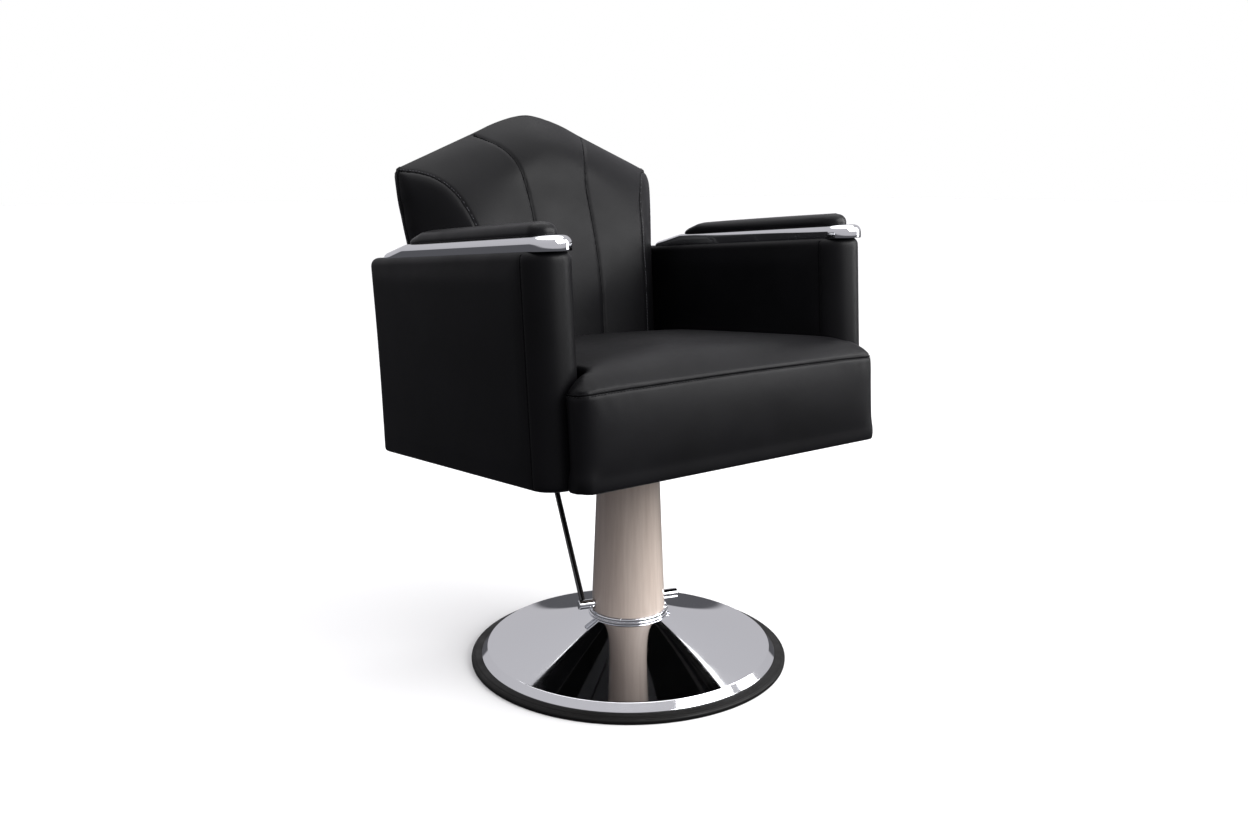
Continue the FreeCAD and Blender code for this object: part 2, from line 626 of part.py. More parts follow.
SEAL_TOP = f"{CYLINDER_TOP} + seal_height"
GLAND_TOP = f"{CYLINDER_TOP} + gland_cap"
keep(turned("gland_nut", [
    ("cylinder_radius", f"{CYLINDER_TOP} - gland_skirt"),
    ("cylinder_radius + gland_wall", f"{CYLINDER_TOP} - gland_skirt"),
    ("cylinder_radius + gland_wall", GLAND_TOP),
    ("ram_radius + shaft_hole_gap", GLAND_TOP),
    ("ram_radius + shaft_hole_gap", SEAL_TOP),
    ("cylinder_bore", SEAL_TOP),
    ("cylinder_bore", CYLINDER_TOP),
    ("cylinder_radius", CYLINDER_TOP),
]))

for label, foot, top in (("ram_seal", CYLINDER_TOP, SEAL_TOP),
                         ("ram_bush", f"{CYLINDER_TOP} - bush_length", CYLINDER_TOP)):
    keep(turned(label, [
        ("ram_radius + running_gap", foot),
        ("cylinder_bore", foot),
        ("cylinder_bore", top),
        ("ram_radius + running_gap", top),
    ]))

BUSH_IN = "shaft_radius + running_gap"
for label, sign in SIDES:
    inner_end = f"{sign} * pump_window_half"
    outer_end = f"{sign} * (pump_body_radius - shaft_bush_setback)"
    bush = turned(f"shaft_bush_{label}", [
        (inner_end, BUSH_IN),
        (outer_end, BUSH_IN),
        (outer_end, BUSH_IN + " + shaft_bush_wall"),
        (inner_end, BUSH_IN + " + shaft_bush_wall"),
    ], "H_Axis")
    with_pump(keep(bush), z="shaft_height")

# ---------------------------------------------------------------- lever, shaft and cam
pump_shaft = turned("pump_shaft", [
    (f"-{SHAFT_HALF}", "0"),
    (f"-{SHAFT_HALF}", "shaft_radius - shaft_chamfer"),
    (f"-{SHAFT_HALF} + shaft_chamfer", "shaft_radius"),
    (f"{SHAFT_HALF} - shaft_chamfer", "shaft_radius"),
    (SHAFT_HALF, "shaft_radius - shaft_chamfer"),
    (SHAFT_HALF, "0"),
], "H_Axis")
bore(pump_shaft, "lever_socket", "lever_radius", "2 * shaft_radius", f"-{LEVER_X}", "0", "0",
     (-1, 0, 0), "90 - lever_rise")
bore(pump_shaft, "set_screw_hole", "set_screw_radius", "lever_end_margin",
     f"-{SHAFT_HALF}", "0", "0", *ALONG_SHAFT)
with_pump(keep(pump_shaft), z="shaft_height")

# The rod is two straight runs and a tangent bend in the plane across the shaft.
BEND_TURN = "(lever_rise - lever_end_rise)"
BEND_RUN = f"(lever_bend_radius * tan({BEND_TURN} / 2))"
CORNER_Y = "lever_length * cos(lever_rise)"
CORNER_Z = "lever_length * sin(lever_rise)"
BEND_START = (f"(lever_length - {BEND_RUN}) * cos(lever_rise)",
              f"(lever_length - {BEND_RUN}) * sin(lever_rise)")
BEND_END = (f"{CORNER_Y} + {BEND_RUN} * cos(lever_end_rise)",
            f"{CORNER_Z} + {BEND_RUN} * sin(lever_end_rise)")
TIP = (f"{CORNER_Y} + lever_end_length * cos(lever_end_rise)",
       f"{CORNER_Z} + lever_end_length * sin(lever_end_rise)")
BEND_SINK = f"(lever_bend_radius / cos({BEND_TURN} / 2) - lever_bend_radius)"
BEND_MIDDLE = (f"{CORNER_Y} + {BEND_SINK} * sin((lever_rise + lever_end_rise) / 2)",
               f"{CORNER_Z} - {BEND_SINK} * cos((lever_rise + lever_end_rise) / 2)")

pump_lever = new_body("pump_lever")
rod_path = pump_lever.newObject("Sketcher::SketchObject", "rod_path")
rod_path.AttachmentSupport = [(origin_plane(pump_lever, "YZ_Plane"), "")]
rod_path.MapMode = "FlatFace"
stations = [FreeCAD.Vector(size(y), size(z), 0) for y, z in (("0", "0"), BEND_START, BEND_END, TIP)]
middle = FreeCAD.Vector(size(BEND_MIDDLE[0]), size(BEND_MIDDLE[1]), 0)
rod_path.addGeometry(Part.LineSegment(stations[0], stations[1]), False)
rod_path.addGeometry(Part.Arc(stations[1], middle, stations[2]), False)
rod_path.addGeometry(Part.LineSegment(stations[2], stations[3]), False)
arc_first = 1 if rod_path.getPoint(1, 1).distanceToPoint(stations[1]) < 1e-6 else 2
rod_path.addConstraint(Sketcher.Constraint("Coincident", 0, 1, -1, 1))
rod_path.addConstraint(Sketcher.Constraint("Tangent", 0, 2, 1, arc_first))
rod_path.addConstraint(Sketcher.Constraint("Tangent", 1, 3 - arc_first, 2, 1))
fix_point(rod_path, 0, 2, *BEND_START)
fix_point(rod_path, 2, 2, *TIP)
bend_rule = rod_path.addConstraint(Sketcher.Constraint("Radius", 1, size("lever_bend_radius")))
rod_path.setExpression(f"Constraints[{bend_rule}]", bound("lever_bend_radius"))
rod_section = pump_lever.newObject("Sketcher::SketchObject", "rod_section")
circle = Part.Circle(FreeCAD.Vector(), FreeCAD.Vector(0, 0, 1), size("lever_radius"))
rod_section.addGeometry(circle, False)
rod_section.addConstraint(Sketcher.Constraint("Coincident", 0, 3, -1, 1))
section_rule = rod_section.addConstraint(Sketcher.Constraint("Radius", 0, size("lever_radius")))
rod_section.setExpression(f"Constraints[{section_rule}]", bound("lever_radius"))
stand_on(pump_lever, rod_section, "0", "0", "0", (-1, 0, 0), "90 - lever_rise")
rod = pump_lever.newObject("PartDesign::AdditivePipe", "rod")
rod.Profile = rod_section
rod.Spine = (rod_path, ["Edge1", "Edge2", "Edge3"])
with_pump(keep(pump_lever), x=f"-{LEVER_X}", z="shaft_height")

PEDAL_FOOT = "(lever_end_length - pedal_length)"
PEDAL_TOP = "(lever_end_length + pedal_end)"
sleeve = put(turned("pedal_sleeve", [
    ("lever_radius", PEDAL_FOOT),
    ("pedal_radius - pedal_edge", PEDAL_FOOT),
    ("pedal_radius", f"{PEDAL_FOOT} + pedal_edge"),
    ("pedal_radius", f"{PEDAL_TOP} - pedal_radius / 2"),
    ("pedal_radius / 2", PEDAL_TOP),
    ("0", PEDAL_TOP),
    ("0", "lever_end_length"),
    ("lever_radius", "lever_end_length"),
]), f"-{LEVER_X}", CORNER_Y, CORNER_Z, (-1, 0, 0), "90 - lever_end_rise")
with_pump(keep(joined("Part::Compound", "foot_pedal", [sleeve])), z="shaft_height")

set_screw = cylinder("lever_set_screw", "set_screw_radius",
                     "lever_end_margin - lever_radius",
                     "0", "0", "0", *ALONG_SHAFT)
set_screw_node = joined("Part::Compound", "lever_clamp_screw", [set_screw])
with_pump(keep(set_screw_node), x=f"-{SHAFT_HALF}", z="shaft_height")

cam_hub = cylinder("cam_hub", "cam_hub_radius", "2 * cam_half_width",
                   "-cam_half_width", "0", "0", *ALONG_SHAFT)
cam_lobe = cylinder("cam_lobe", "cam_lobe_radius", "2 * cam_half_width",
                    "-cam_half_width", LOBE_Y, "cam_throw * sin(cam_rest_angle)", *ALONG_SHAFT)
cam_web = document.addObject("Part::Box", "cam_web")
bind(cam_web, Length="2 * cam_half_width", Width="cam_throw", Height="2 * cam_web_half")
put(cam_web, "-cam_half_width", "cam_web_half * sin(cam_rest_angle)",
    "-cam_web_half * cos(cam_rest_angle)", (1, 0, 0), "cam_rest_angle")
cam_blank = joined("Part::MultiFuse", "cam_blank", [cam_hub, cam_lobe, cam_web])
cam_bore = cylinder("cam_bore", "shaft_radius", "4 * cam_half_width",
                    "-2 * cam_half_width", "0", "0", *ALONG_SHAFT)
with_pump(keep(cut("pump_cam", cam_blank, [cam_bore])), z="shaft_height")

# ---------------------------------------------------------------- plunger and its spring
HEAD_FOOT = f"({PLUNGER_TOP} - plunger_head_height)"
with_pump(keep(turned("pump_plunger", [
    ("0", "plunger_foot_height"),
    ("plunger_radius", "plunger_foot_height"),
    ("plunger_radius", HEAD_FOOT),
    ("plunger_head_radius", HEAD_FOOT),
    ("plunger_head_radius", PLUNGER_TOP),
    ("0", PLUNGER_TOP),
])), y="cam_throw")

plunger_spring = new_body("plunger_spring")
wire_section = plunger_spring.newObject("Sketcher::SketchObject", "wire_section")
wire_section.AttachmentSupport = [(origin_plane(plunger_spring, "XZ_Plane"), "")]
wire_section.MapMode = "FlatFace"
WIRE_X = "plunger_radius + spring_gap + spring_wire"
WIRE_Z = "pump_window_floor + spring_wire"
centre = FreeCAD.Vector(size(WIRE_X), size(WIRE_Z), 0)
wire_section.addGeometry(Part.Circle(centre, FreeCAD.Vector(0, 0, 1), size("spring_wire")), False)
fix_point(wire_section, 0, 3, WIRE_X, WIRE_Z)
wire_rule = wire_section.addConstraint(Sketcher.Constraint("Radius", 0, size("spring_wire")))
wire_section.setExpression(f"Constraints[{wire_rule}]", bound("spring_wire"))
coil = plunger_spring.newObject("PartDesign::AdditiveHelix", "coil")
coil.Profile = wire_section
coil.ReferenceAxis = (wire_section, ["V_Axis"])
coil.Mode = "pitch-height-angle"
bind(coil, Pitch="spring_pitch", Height=f"{HEAD_FOOT} - pump_window_floor - 2 * spring_wire")
with_pump(keep(plunger_spring), y="cam_throw")

# ---------------------------------------------------------------- ram
PISTON_TOP = f"({PISTON_FOOT} + piston_height)"
PISTON_RADIUS = "cylinder_bore - running_gap"
NECK_FOOT = f"({SHOULDER} + spigot_neck_start)"
keep(turned("ram", [
    ("0", PISTON_FOOT),
    ("piston_stub_radius", PISTON_FOOT),
    ("piston_stub_radius", PISTON_TOP),
    ("ram_radius", PISTON_TOP),
    ("ram_radius", SHOULDER),
    ("spigot_radius", SHOULDER),
    ("spigot_radius", NECK_FOOT),
    ("spigot_radius - spigot_neck_depth", NECK_FOOT),
    ("spigot_radius - spigot_neck_depth", f"{NECK_FOOT} + spigot_neck_height"),
    ("spigot_radius", f"{NECK_FOOT} + spigot_neck_height"),
    ("spigot_radius", f"{SHOULDER} + spigot_height"),
    ("0", f"{SHOULDER} + spigot_height"),
]))
GROOVE_FOOT = f"({PISTON_FOOT} + (piston_height - piston_groove_height) / 2)"
GROOVE_TOP = f"({GROOVE_FOOT} + piston_groove_height)"
keep(turned("ram_piston", [
    ("piston_stub_radius", PISTON_FOOT),
    (PISTON_RADIUS, PISTON_FOOT),
    (PISTON_RADIUS, GROOVE_FOOT),
    (f"{PISTON_RADIUS} - piston_groove_depth", GROOVE_FOOT),
    (f"{PISTON_RADIUS} - piston_groove_depth", GROOVE_TOP),
    (PISTON_RADIUS, GROOVE_TOP),
    (PISTON_RADIUS, PISTON_TOP),
    ("piston_stub_radius", PISTON_TOP),
]))
keep(turned("piston_seal", [
    (f"{PISTON_RADIUS} - piston_groove_depth", GROOVE_FOOT),
    (PISTON_RADIUS, GROOVE_FOOT),
    (PISTON_RADIUS, GROOVE_TOP),
    (f"{PISTON_RADIUS} - piston_groove_depth", GROOVE_TOP),
]))
keep(turned("thrust_bearing", [
    ("spigot_radius", SHOULDER),
    ("bearing_radius", SHOULDER),
    ("bearing_radius", f"{SHOULDER} + bearing_thickness"),
    ("spigot_radius", f"{SHOULDER} + bearing_thickness"),
]))

# ---------------------------------------------------------------- swivel hub and seat plate
hub_blank = cylinder("hub_blank", "hub_radius", f"{SEAT_PLANE} - {SHOULDER}", z=HUB_FOOT)
hub_bore = cylinder("hub_bore", "spigot_radius + running_gap",
                    f"{HUB_BORE_TOP} - {HUB_FOOT}", z=HUB_FOOT)
LOCK_Z = f"{NECK_FOOT} + spigot_neck_height / 2"
LOCK_TIP = "(spigot_radius - spigot_neck_depth + lock_gap)"
lock_hole = cylinder("lock_hole", "lock_screw_radius", "hub_radius",
                     "0", LOCK_TIP, LOCK_Z, *ALONG_DEPTH)
above_hub = with_seat(joined("Part::Compound", "above_hub", [
    box("above_hub_block", ("-4 * hub_radius", "-4 * hub_radius", "-mount_plate_thickness"),
        ("4 * hub_radius", "4 * hub_radius", "4 * hub_radius"))]))
keep(cut("swivel_hub", hub_blank, [hub_bore, lock_hole, above_hub]))
keep(joined("Part::Compound", "hub_lock_screw", [
    cylinder("lock_screw_rod", "lock_screw_radius", f"hub_radius - {LOCK_TIP}",
             "0", LOCK_TIP, LOCK_Z, *ALONG_DEPTH)]))

MOUNT_BOLT = "(mount_plate_half - mount_bolt_edge)"
mounting_plate = new_body("mounting_plate")
block_in(mounting_plate, "Additive", "plate_blank",
         ("-mount_plate_half", "-mount_plate_half", "-mount_plate_thickness"),
         ("mount_plate_half", "mount_plate_half", "0"))
for index, (across, along) in enumerate(CORNERS):
    bore(mounting_plate, f"mount_hole_{index}", "mount_bolt_radius", "mount_plate_thickness",
         f"{across} * {MOUNT_BOLT}", f"{along} * {MOUNT_BOLT}", "-mount_plate_thickness")
with_seat(keep(mounting_plate))
with_seat(keep(screws("mounting_bolts", [
    (f"{across} * {MOUNT_BOLT}", f"{along} * {MOUNT_BOLT}", "-mount_plate_thickness")
    for across, along in CORNERS
], "mount_bolt_radius", "mount_plate_thickness + wood_screw_depth",
    "mount_bolt_radius * hex_head_spread", "mount_bolt_radius * hex_head_rise", hexagonal=True)))

# ---------------------------------------------------------------- seat
BOARD_HALF = "(sitting_half_width - soft_gap)"
BOARD_FRONT = "(arm_front + board_front_setback)"
seat_board = new_body("seat_board")
block_in(seat_board, "Additive", "board_blank", (f"-{BOARD_HALF}", BOARD_FRONT, "0"),
         (BOARD_HALF, "board_rear", "board_thickness"))
for index, (across, along) in enumerate(CORNERS):
    bore(seat_board, f"board_bolt_hole_{index}", "mount_bolt_radius", "wood_screw_depth",
         f"{across} * {MOUNT_BOLT}", f"{along} * {MOUNT_BOLT}", "0")
BARS = (("front", "bar_front"), ("rear", "bar_rear"))
BRACKET_FRONT = "(bar_rear + bar_width / 2 + bracket_bar_gap)"
BRACKET_SCREWS = (f"{BRACKET_FRONT} + bracket_screw_first", f"{BRACKET_FRONT} + bracket_screw_second")
for across in (-1, 1):
    for place, along in (*BARS, *zip(("fore", "aft"), BRACKET_SCREWS)):
        side = "bar_board_screw" if place in ("front", "rear") else "bracket_x"
        bore(seat_board, f"board_screw_hole_{place}_{across + 1}", "wood_screw_radius",
             "wood_screw_depth", f"{across} * {side}", along, "0")
with_seat(keep(seat_board))


def board_space(name):
    """The room that the seat board takes in the padding above it."""
    return box(name, (f"-{BOARD_HALF}", BOARD_FRONT, "-board_thickness"),
               (BOARD_HALF, "board_rear", "board_thickness"))


LIP_HALF = "(sitting_half_width + seat_lip_side)"
LIP_REAR = "(arm_front - soft_gap)"
SEAT_FRONT = "(arm_front - seat_lip_reach)"
CORNER_SINK = "arm_corner_radius * (1 - sin(45))"
seat_block = carved(
    "seat_block",
    plan=mirrored([
        ("0", SEAT_FRONT),
        (f"{LIP_HALF} - arm_corner_radius", SEAT_FRONT),
        (LIP_HALF, f"{SEAT_FRONT} + arm_corner_radius",
         f"{LIP_HALF} - {CORNER_SINK}", f"{SEAT_FRONT} + {CORNER_SINK}"),
        (LIP_HALF, LIP_REAR),
        (BOARD_HALF, LIP_REAR),
        (BOARD_HALF, SEAT_REAR),
    ]),
    front=mirrored([
        ("0", "0"),
        (LIP_HALF, "0"),
        (LIP_HALF, "seat_seam_height"),
        (f"{LIP_HALF} - seat_roll", "seat_seam_height + seat_shoulder_rise",
         f"{LIP_HALF} - seat_roll_mid_run", "seat_seam_height + seat_roll_mid_rise"),
        ("0", SEAT_TOP),
    ]),
    side=[
        (SEAT_FRONT, "0"),
        ("0", "0"),
        (SEAT_REAR, "0"),
        (SEAT_REAR, SEAT_TOP),
        (f"{SEAT_FRONT} + seat_front_run", SEAT_TOP),
        (SEAT_FRONT, "seat_seam_height",
         f"{SEAT_FRONT} + seat_front_mid_run", "seat_seam_height + seat_front_mid_rise"),
    ],
)
with_seat(keep(cut("seat_cushion", seat_block, [board_space("seat_board_room")])))

COVER_HALF = "(sitting_half_width - board_thickness)"
cover_blank = box("dust_cover_blank",
                  (f"-{COVER_HALF}", f"{BOARD_FRONT} + board_thickness", "-dust_cover_thickness"),
                  (COVER_HALF, "board_rear - dust_cover_gap", "0"))
PLATE_ROOM = "(mount_plate_half + dust_cover_gap)"
cover_cuts = [box("cover_plate_cut", (f"-{PLATE_ROOM}", f"-{PLATE_ROOM}", "-board_thickness"),
                  (PLATE_ROOM, PLATE_ROOM, "board_thickness"))]
BAR_ROOM = "(bar_width / 2 + dust_cover_gap)"
for place, along in BARS:
    cover_cuts.append(box(
        f"cover_bar_cut_{place}",
        ("-2 * sitting_half_width", f"{along} - {BAR_ROOM}", "-board_thickness"),
        ("2 * sitting_half_width", f"{along} + {BAR_ROOM}", "board_thickness")))
BRACKET_ROOM = "(bracket_width / 2 + dust_cover_gap)"
for side, sign in SIDES:
    cover_cuts.append(box(
        f"cover_bracket_cut_{side}",
        (f"{sign} * bracket_x - {BRACKET_ROOM}", f"{BRACKET_FRONT} - dust_cover_gap", "-board_thickness"),
        (f"{sign} * bracket_x + {BRACKET_ROOM}", "2 * back_rear", "board_thickness")))
with_seat(keep(cut("seat_dust_cover", cover_blank, cover_cuts)))

BAR_SCREWS = ("bar_board_screw", ARM_MIDDLE)
for place, along in BARS:
    bar = new_body(f"cross_bar_{place}")
    block_in(bar, "Additive", f"bar_blank_{place}",
             (f"-{ARM_MIDDLE} - arm_frame_thickness / 2", f"{along} - bar_width / 2", "-bar_thickness"),
             (f"{ARM_MIDDLE} + arm_frame_thickness / 2", f"{along} + bar_width / 2", "0"))
    for sign in (-1, 1):
        for index, across in enumerate(BAR_SCREWS):
            bore(bar, f"bar_hole_{place}_{index}_{sign + 1}", "wood_screw_radius", "bar_thickness",
                 f"{sign} * {across}", along, "-bar_thickness")
    with_seat(keep(bar))
with_seat(keep(screws("cross_bar_screws", [
    (f"{sign} * {across}", along, "-bar_thickness")
    for sign in (-1, 1) for across in BAR_SCREWS for _, along in BARS
], "wood_screw_radius", "bar_thickness + wood_screw_depth - screw_tip_gap",
    "screw_head_radius", "screw_head_height")))


# ---------------------------------------------------------------- arms
def capsule(half, nose, rear, corner):
    """Plan outline with a round nose and rounded rear corners, about its own middle line."""
    bulge = f"({corner}) * (1 - sin(45))"
    return [
        (f"-({half})", f"{nose} + {half}"),
        (half, f"{nose} + {half}", "0", nose),
        (half, f"{rear} - {corner}"),
        (f"{half} - {corner}", rear, f"{half} - {bulge}", f"{rear} - {bulge}"),
        (f"-({half}) + {corner}", rear),
        (f"-({half})", f"{rear} - {corner}", f"-({half}) + {bulge}", f"{rear} - {bulge}"),
    ]


def top_edges(shape, height):
    """Names of the edges that lie flat at a height."""
    return [f"Edge{index}" for index, edge in enumerate(shape.Edges, start=1)
            if edge.BoundBox.ZLength < 0.01 and abs(edge.BoundBox.ZMax - height) < 0.01]


def beside(item, sign):
    """Place a piece over one arm's middle line in the seat frame."""
    return put(item, f"{sign} * {ARM_MIDDLE}", "0", SEAT_PLANE, (-1, 0, 0), "seat_lean")


ARM_HALF = "arm_thickness / 2"
FRAME_HALF = "arm_frame_thickness / 2"
FRAME_TOP = "(arm_height - arm_frame_margin)"
FRAME_ENDS = (f"arm_front + {ARM_HALF}", "arm_rear - arm_frame_margin")
TRIM_HALF = f"({ARM_HALF} - trim_inset)"
TRIM_TOP = "(arm_height + trim_thickness)"
TRIM_NOSE = "(arm_front - trim_overhang)"
TRIM_REAR = "(arm_rear - trim_rear_setback)"
TRIM_SLOPE = f"({TRIM_REAR} - trim_slope_run)"
PAD_HALF = f"({ARM_HALF} - pad_inset)"
PAD_NOSE = "(arm_front + pad_nose_setback)"
PAD_TOP = f"({TRIM_TOP} + pad_thickness)"
for side, sign in SIDES:
    frame = new_body(f"arm_frame_{side}")
    block_in(frame, "Additive", f"frame_blank_{side}", (f"-{FRAME_HALF}", FRAME_ENDS[0], "0"),
             (FRAME_HALF, FRAME_ENDS[1], FRAME_TOP))
    for place, along in BARS:
        bore(frame, f"frame_hole_{side}_{place}", "wood_screw_radius", "wood_screw_depth",
             "0", along, "0")
    beside(keep(frame), sign)

    cover = new_body(f"arm_cover_{side}")
    plan = body_sketch(cover, f"arm_plan_{side}", "XY_Plane",
                       capsule(ARM_HALF, "arm_front", "arm_rear", "arm_corner_radius"))
    block = cover.newObject("PartDesign::Pad", f"arm_block_{side}")
    block.Profile = plan
    bind(block, Length="arm_height")
    document.recompute()
    soft_edge = cover.newObject("PartDesign::Fillet", f"arm_edge_{side}")
    soft_edge.Base = (block, top_edges(block.Shape, size("arm_height")))
    bind(soft_edge, Radius="arm_edge_radius")
    block_in(cover, "Subtractive", f"frame_room_{side}", (f"-{FRAME_HALF}", FRAME_ENDS[0], "0"),
             (FRAME_HALF, FRAME_ENDS[1], FRAME_TOP))
    beside(keep(cover), sign)

    trim_block = carved(
        f"trim_block_{side}",
        plan=capsule(TRIM_HALF, TRIM_NOSE, TRIM_REAR, "trim_inset"),
        side=[
            (TRIM_NOSE, "arm_height"),
            (TRIM_REAR, "arm_height"),
            (TRIM_REAR, "arm_height + trim_rear_thickness"),
            (TRIM_SLOPE, TRIM_TOP),
            (TRIM_NOSE, TRIM_TOP),
        ],
    )
    trim_room = carved(
        f"trim_room_{side}",
        plan=capsule(f"({TRIM_HALF} - trim_wall)", f"({TRIM_NOSE} + trim_wall)", TRIM_SLOPE, "trim_wall"),
        side=[
            (TRIM_NOSE, "arm_height - trim_wall"),
            (TRIM_REAR, "arm_height - trim_wall"),
            (TRIM_REAR, f"{TRIM_TOP} - trim_wall"),
            (TRIM_NOSE, f"{TRIM_TOP} - trim_wall"),
        ],
    )
    beside(keep(cut(f"arm_trim_{side}", trim_block, [trim_room])), sign)

    pad = carved(
        f"arm_pad_{side}",
        plan=capsule(PAD_HALF, PAD_NOSE, TRIM_SLOPE, "trim_inset"),
        side=[
            (PAD_NOSE, TRIM_TOP),
            (TRIM_SLOPE, TRIM_TOP),
            (TRIM_SLOPE, f"{TRIM_TOP} + pad_rear_thickness"),
            (f"{TRIM_SLOPE} - pad_slope_run", PAD_TOP),
            (PAD_NOSE, PAD_TOP),
        ],
    )
    beside(keep(pad), sign)

# ---------------------------------------------------------------- back
ROUND_SINK = "back_rear_round * (1 - sin(45))"
back_block = carved(
    "back_block",
    plan=mirrored([
        ("0", "back_front"),
        ("back_face_half", "back_front"),
        ("back_face_half + back_wing_spread", "back_rear"),
        ("0", "back_rear"),
    ]),
    front=mirrored([
        ("0", "0"),
        (BOARD_HALF, "0"),
        (BOARD_HALF, "arm_height"),
        (BACK_CORNER, BACK_CORNER_Z, "sitting_half_width + back_side_out", "arm_height + back_side_rise"),
        ("back_shoulder_half", f"{BACK_PEAK} - back_shoulder_drop"),
        ("0", BACK_PEAK, "back_crest_half", f"{BACK_PEAK} - back_crest_drop"),
    ]),
    side=[
        ("back_front", "0"),
        ("back_front", f"{BACK_PEAK} - back_bend_drop"),
        ("back_face_top", f"{BACK_PEAK} - back_face_top_drop",
         "back_face_mid", f"{BACK_PEAK} - back_face_mid_drop"),
        ("back_ridge", BACK_PEAK, "back_roll_mid", f"{BACK_PEAK} - back_roll_mid_drop"),
        ("back_rear - back_rear_round", BACK_PEAK),
        ("back_rear", f"{BACK_PEAK} - back_rear_round",
         f"back_rear - {ROUND_SINK}", f"{BACK_PEAK} - {ROUND_SINK}"),
        ("back_rear", "0"),
    ],
)


def panel_space(name):
    """All the room behind the face of the rear panel."""
    return box(name, (f"-2 * {BACK_CORNER}", PANEL_FACE, "-board_thickness"),
               (f"2 * {BACK_CORNER}", "2 * back_rear", f"2 * {BACK_PEAK}"))


with_seat(keep(cut("back_cushion", back_block, [panel_space("behind_cushion"),
                                               board_space("back_board_room")])))

BOARD_BACK = f"({PANEL_FACE} + back_board_thickness)"
BACK_BOARD_HALF = "(sitting_half_width - back_board_inset)"
BACK_BOARD_TOP = f"({BACK_PEAK} - back_board_drop)"
back_board = new_body("back_board")
block_in(back_board, "Additive", "back_board_blank",
         (f"-{BACK_BOARD_HALF}", PANEL_FACE, "back_board_foot"),
         (BACK_BOARD_HALF, BOARD_BACK, BACK_BOARD_TOP))
UPRIGHT_SCREWS = ("bracket_screw_low", "bracket_screw_high")
SCREW_BITE = "(back_board_thickness - back_screw_web)"
for side, sign in SIDES:
    for index, up in enumerate(UPRIGHT_SCREWS):
        bore(back_board, f"back_screw_hole_{side}_{index}", "wood_screw_radius", SCREW_BITE,
             f"{sign} * bracket_x", f"{BOARD_BACK} - {SCREW_BITE}", up, *ALONG_DEPTH)
with_seat(keep(back_board))

POCKET_HALF = "(bracket_width / 2 + bracket_pocket_gap)"
panel_block = joined("Part::MultiCommon", "panel_block", [back_block, panel_space("panel_room")])
panel_cuts = [box("back_board_space", (f"-{BACK_BOARD_HALF}", PANEL_FACE, "back_board_foot"),
                  (BACK_BOARD_HALF, BOARD_BACK, BACK_BOARD_TOP))]
for side, sign in SIDES:
    panel_cuts.append(box(
        f"bracket_pocket_{side}",
        (f"{sign} * bracket_x - {POCKET_HALF}", BOARD_BACK, "-board_thickness"),
        (f"{sign} * bracket_x + {POCKET_HALF}",
         f"{BOARD_BACK} + bracket_thickness + bracket_pocket_depth", "bracket_top + bracket_pocket_gap")))
with_seat(keep(cut("back_rear_panel", panel_block, panel_cuts)))

for side, sign in SIDES:
    bracket = new_body(f"back_bracket_{side}")
    left_edge = f"{sign} * bracket_x - bracket_width / 2"
    right_edge = f"{sign} * bracket_x + bracket_width / 2"
    block_in(bracket, "Additive", f"bracket_foot_{side}",
             (left_edge, BRACKET_FRONT, "-bracket_thickness"),
             (right_edge, f"{BOARD_BACK} + bracket_thickness", "0"))
    block_in(bracket, "Additive", f"bracket_leg_{side}",
             (left_edge, BOARD_BACK, "-bracket_thickness"),
             (right_edge, f"{BOARD_BACK} + bracket_thickness", "bracket_top"))
    for index, along in enumerate(BRACKET_SCREWS):
        bore(bracket, f"bracket_foot_hole_{side}_{index}", "wood_screw_radius", "bracket_thickness",
             f"{sign} * bracket_x", along, "-bracket_thickness")
    for index, up in enumerate(UPRIGHT_SCREWS):
        bore(bracket, f"bracket_leg_hole_{side}_{index}", "wood_screw_radius", "bracket_thickness",
             f"{sign} * bracket_x", BOARD_BACK, up, *ALONG_DEPTH)
    with_seat(keep(bracket))
BRACKET_PLACES = [(f"{sign} * bracket_x", along, "-bracket_thickness")
                  for _, sign in SIDES for along in BRACKET_SCREWS]
BRACKET_PLACES += [(f"{sign} * bracket_x", f"{BOARD_BACK} + bracket_thickness", up, (1, 0, 0), "90")
                   for _, sign in SIDES for up in UPRIGHT_SCREWS]
with_seat(keep(screws("back_bracket_screws", BRACKET_PLACES, "wood_screw_radius",
                      f"bracket_thickness + {SCREW_BITE}", "screw_head_radius", "screw_head_height")))

# ---------------------------------------------------------------- check and write
document.recompute()
for item in document.Objects:
    faults = [state for state in item.State if state in ("Invalid", "Error")]
    if faults:
        raise RuntimeError(f"{item.Label} is {faults}")
os.makedirs("parts", exist_ok=True)
for node in nodes:
    if node.Shape.isNull() or not node.Shape.isValid() or not node.Shape.Solids:
        raise RuntimeError(f"{node.Label} has no valid solid")
    node.Shape.exportStep(f"parts/{node.Label}.step")
    print(f"{node.Label}: {len(node.Shape.Solids)} solid, {node.Shape.Volume / 1000:.1f} cm3")
print(len(nodes), "nodes")
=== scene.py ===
# %% [markdown]
# # A hydraulic styling chair
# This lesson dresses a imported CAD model. The CAD already holds every
# size and every joint, so nothing is measured again here: turned chrome, sewn
# leatherette and small hardware are laid over it, and each piece rides on a CAD body.

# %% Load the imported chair
import json
import math
import bpy
import bmesh
from mathutils import Matrix, Vector, noise
from mathutils.bvhtree import BVHTree
from mathutils.kdtree import KDTree


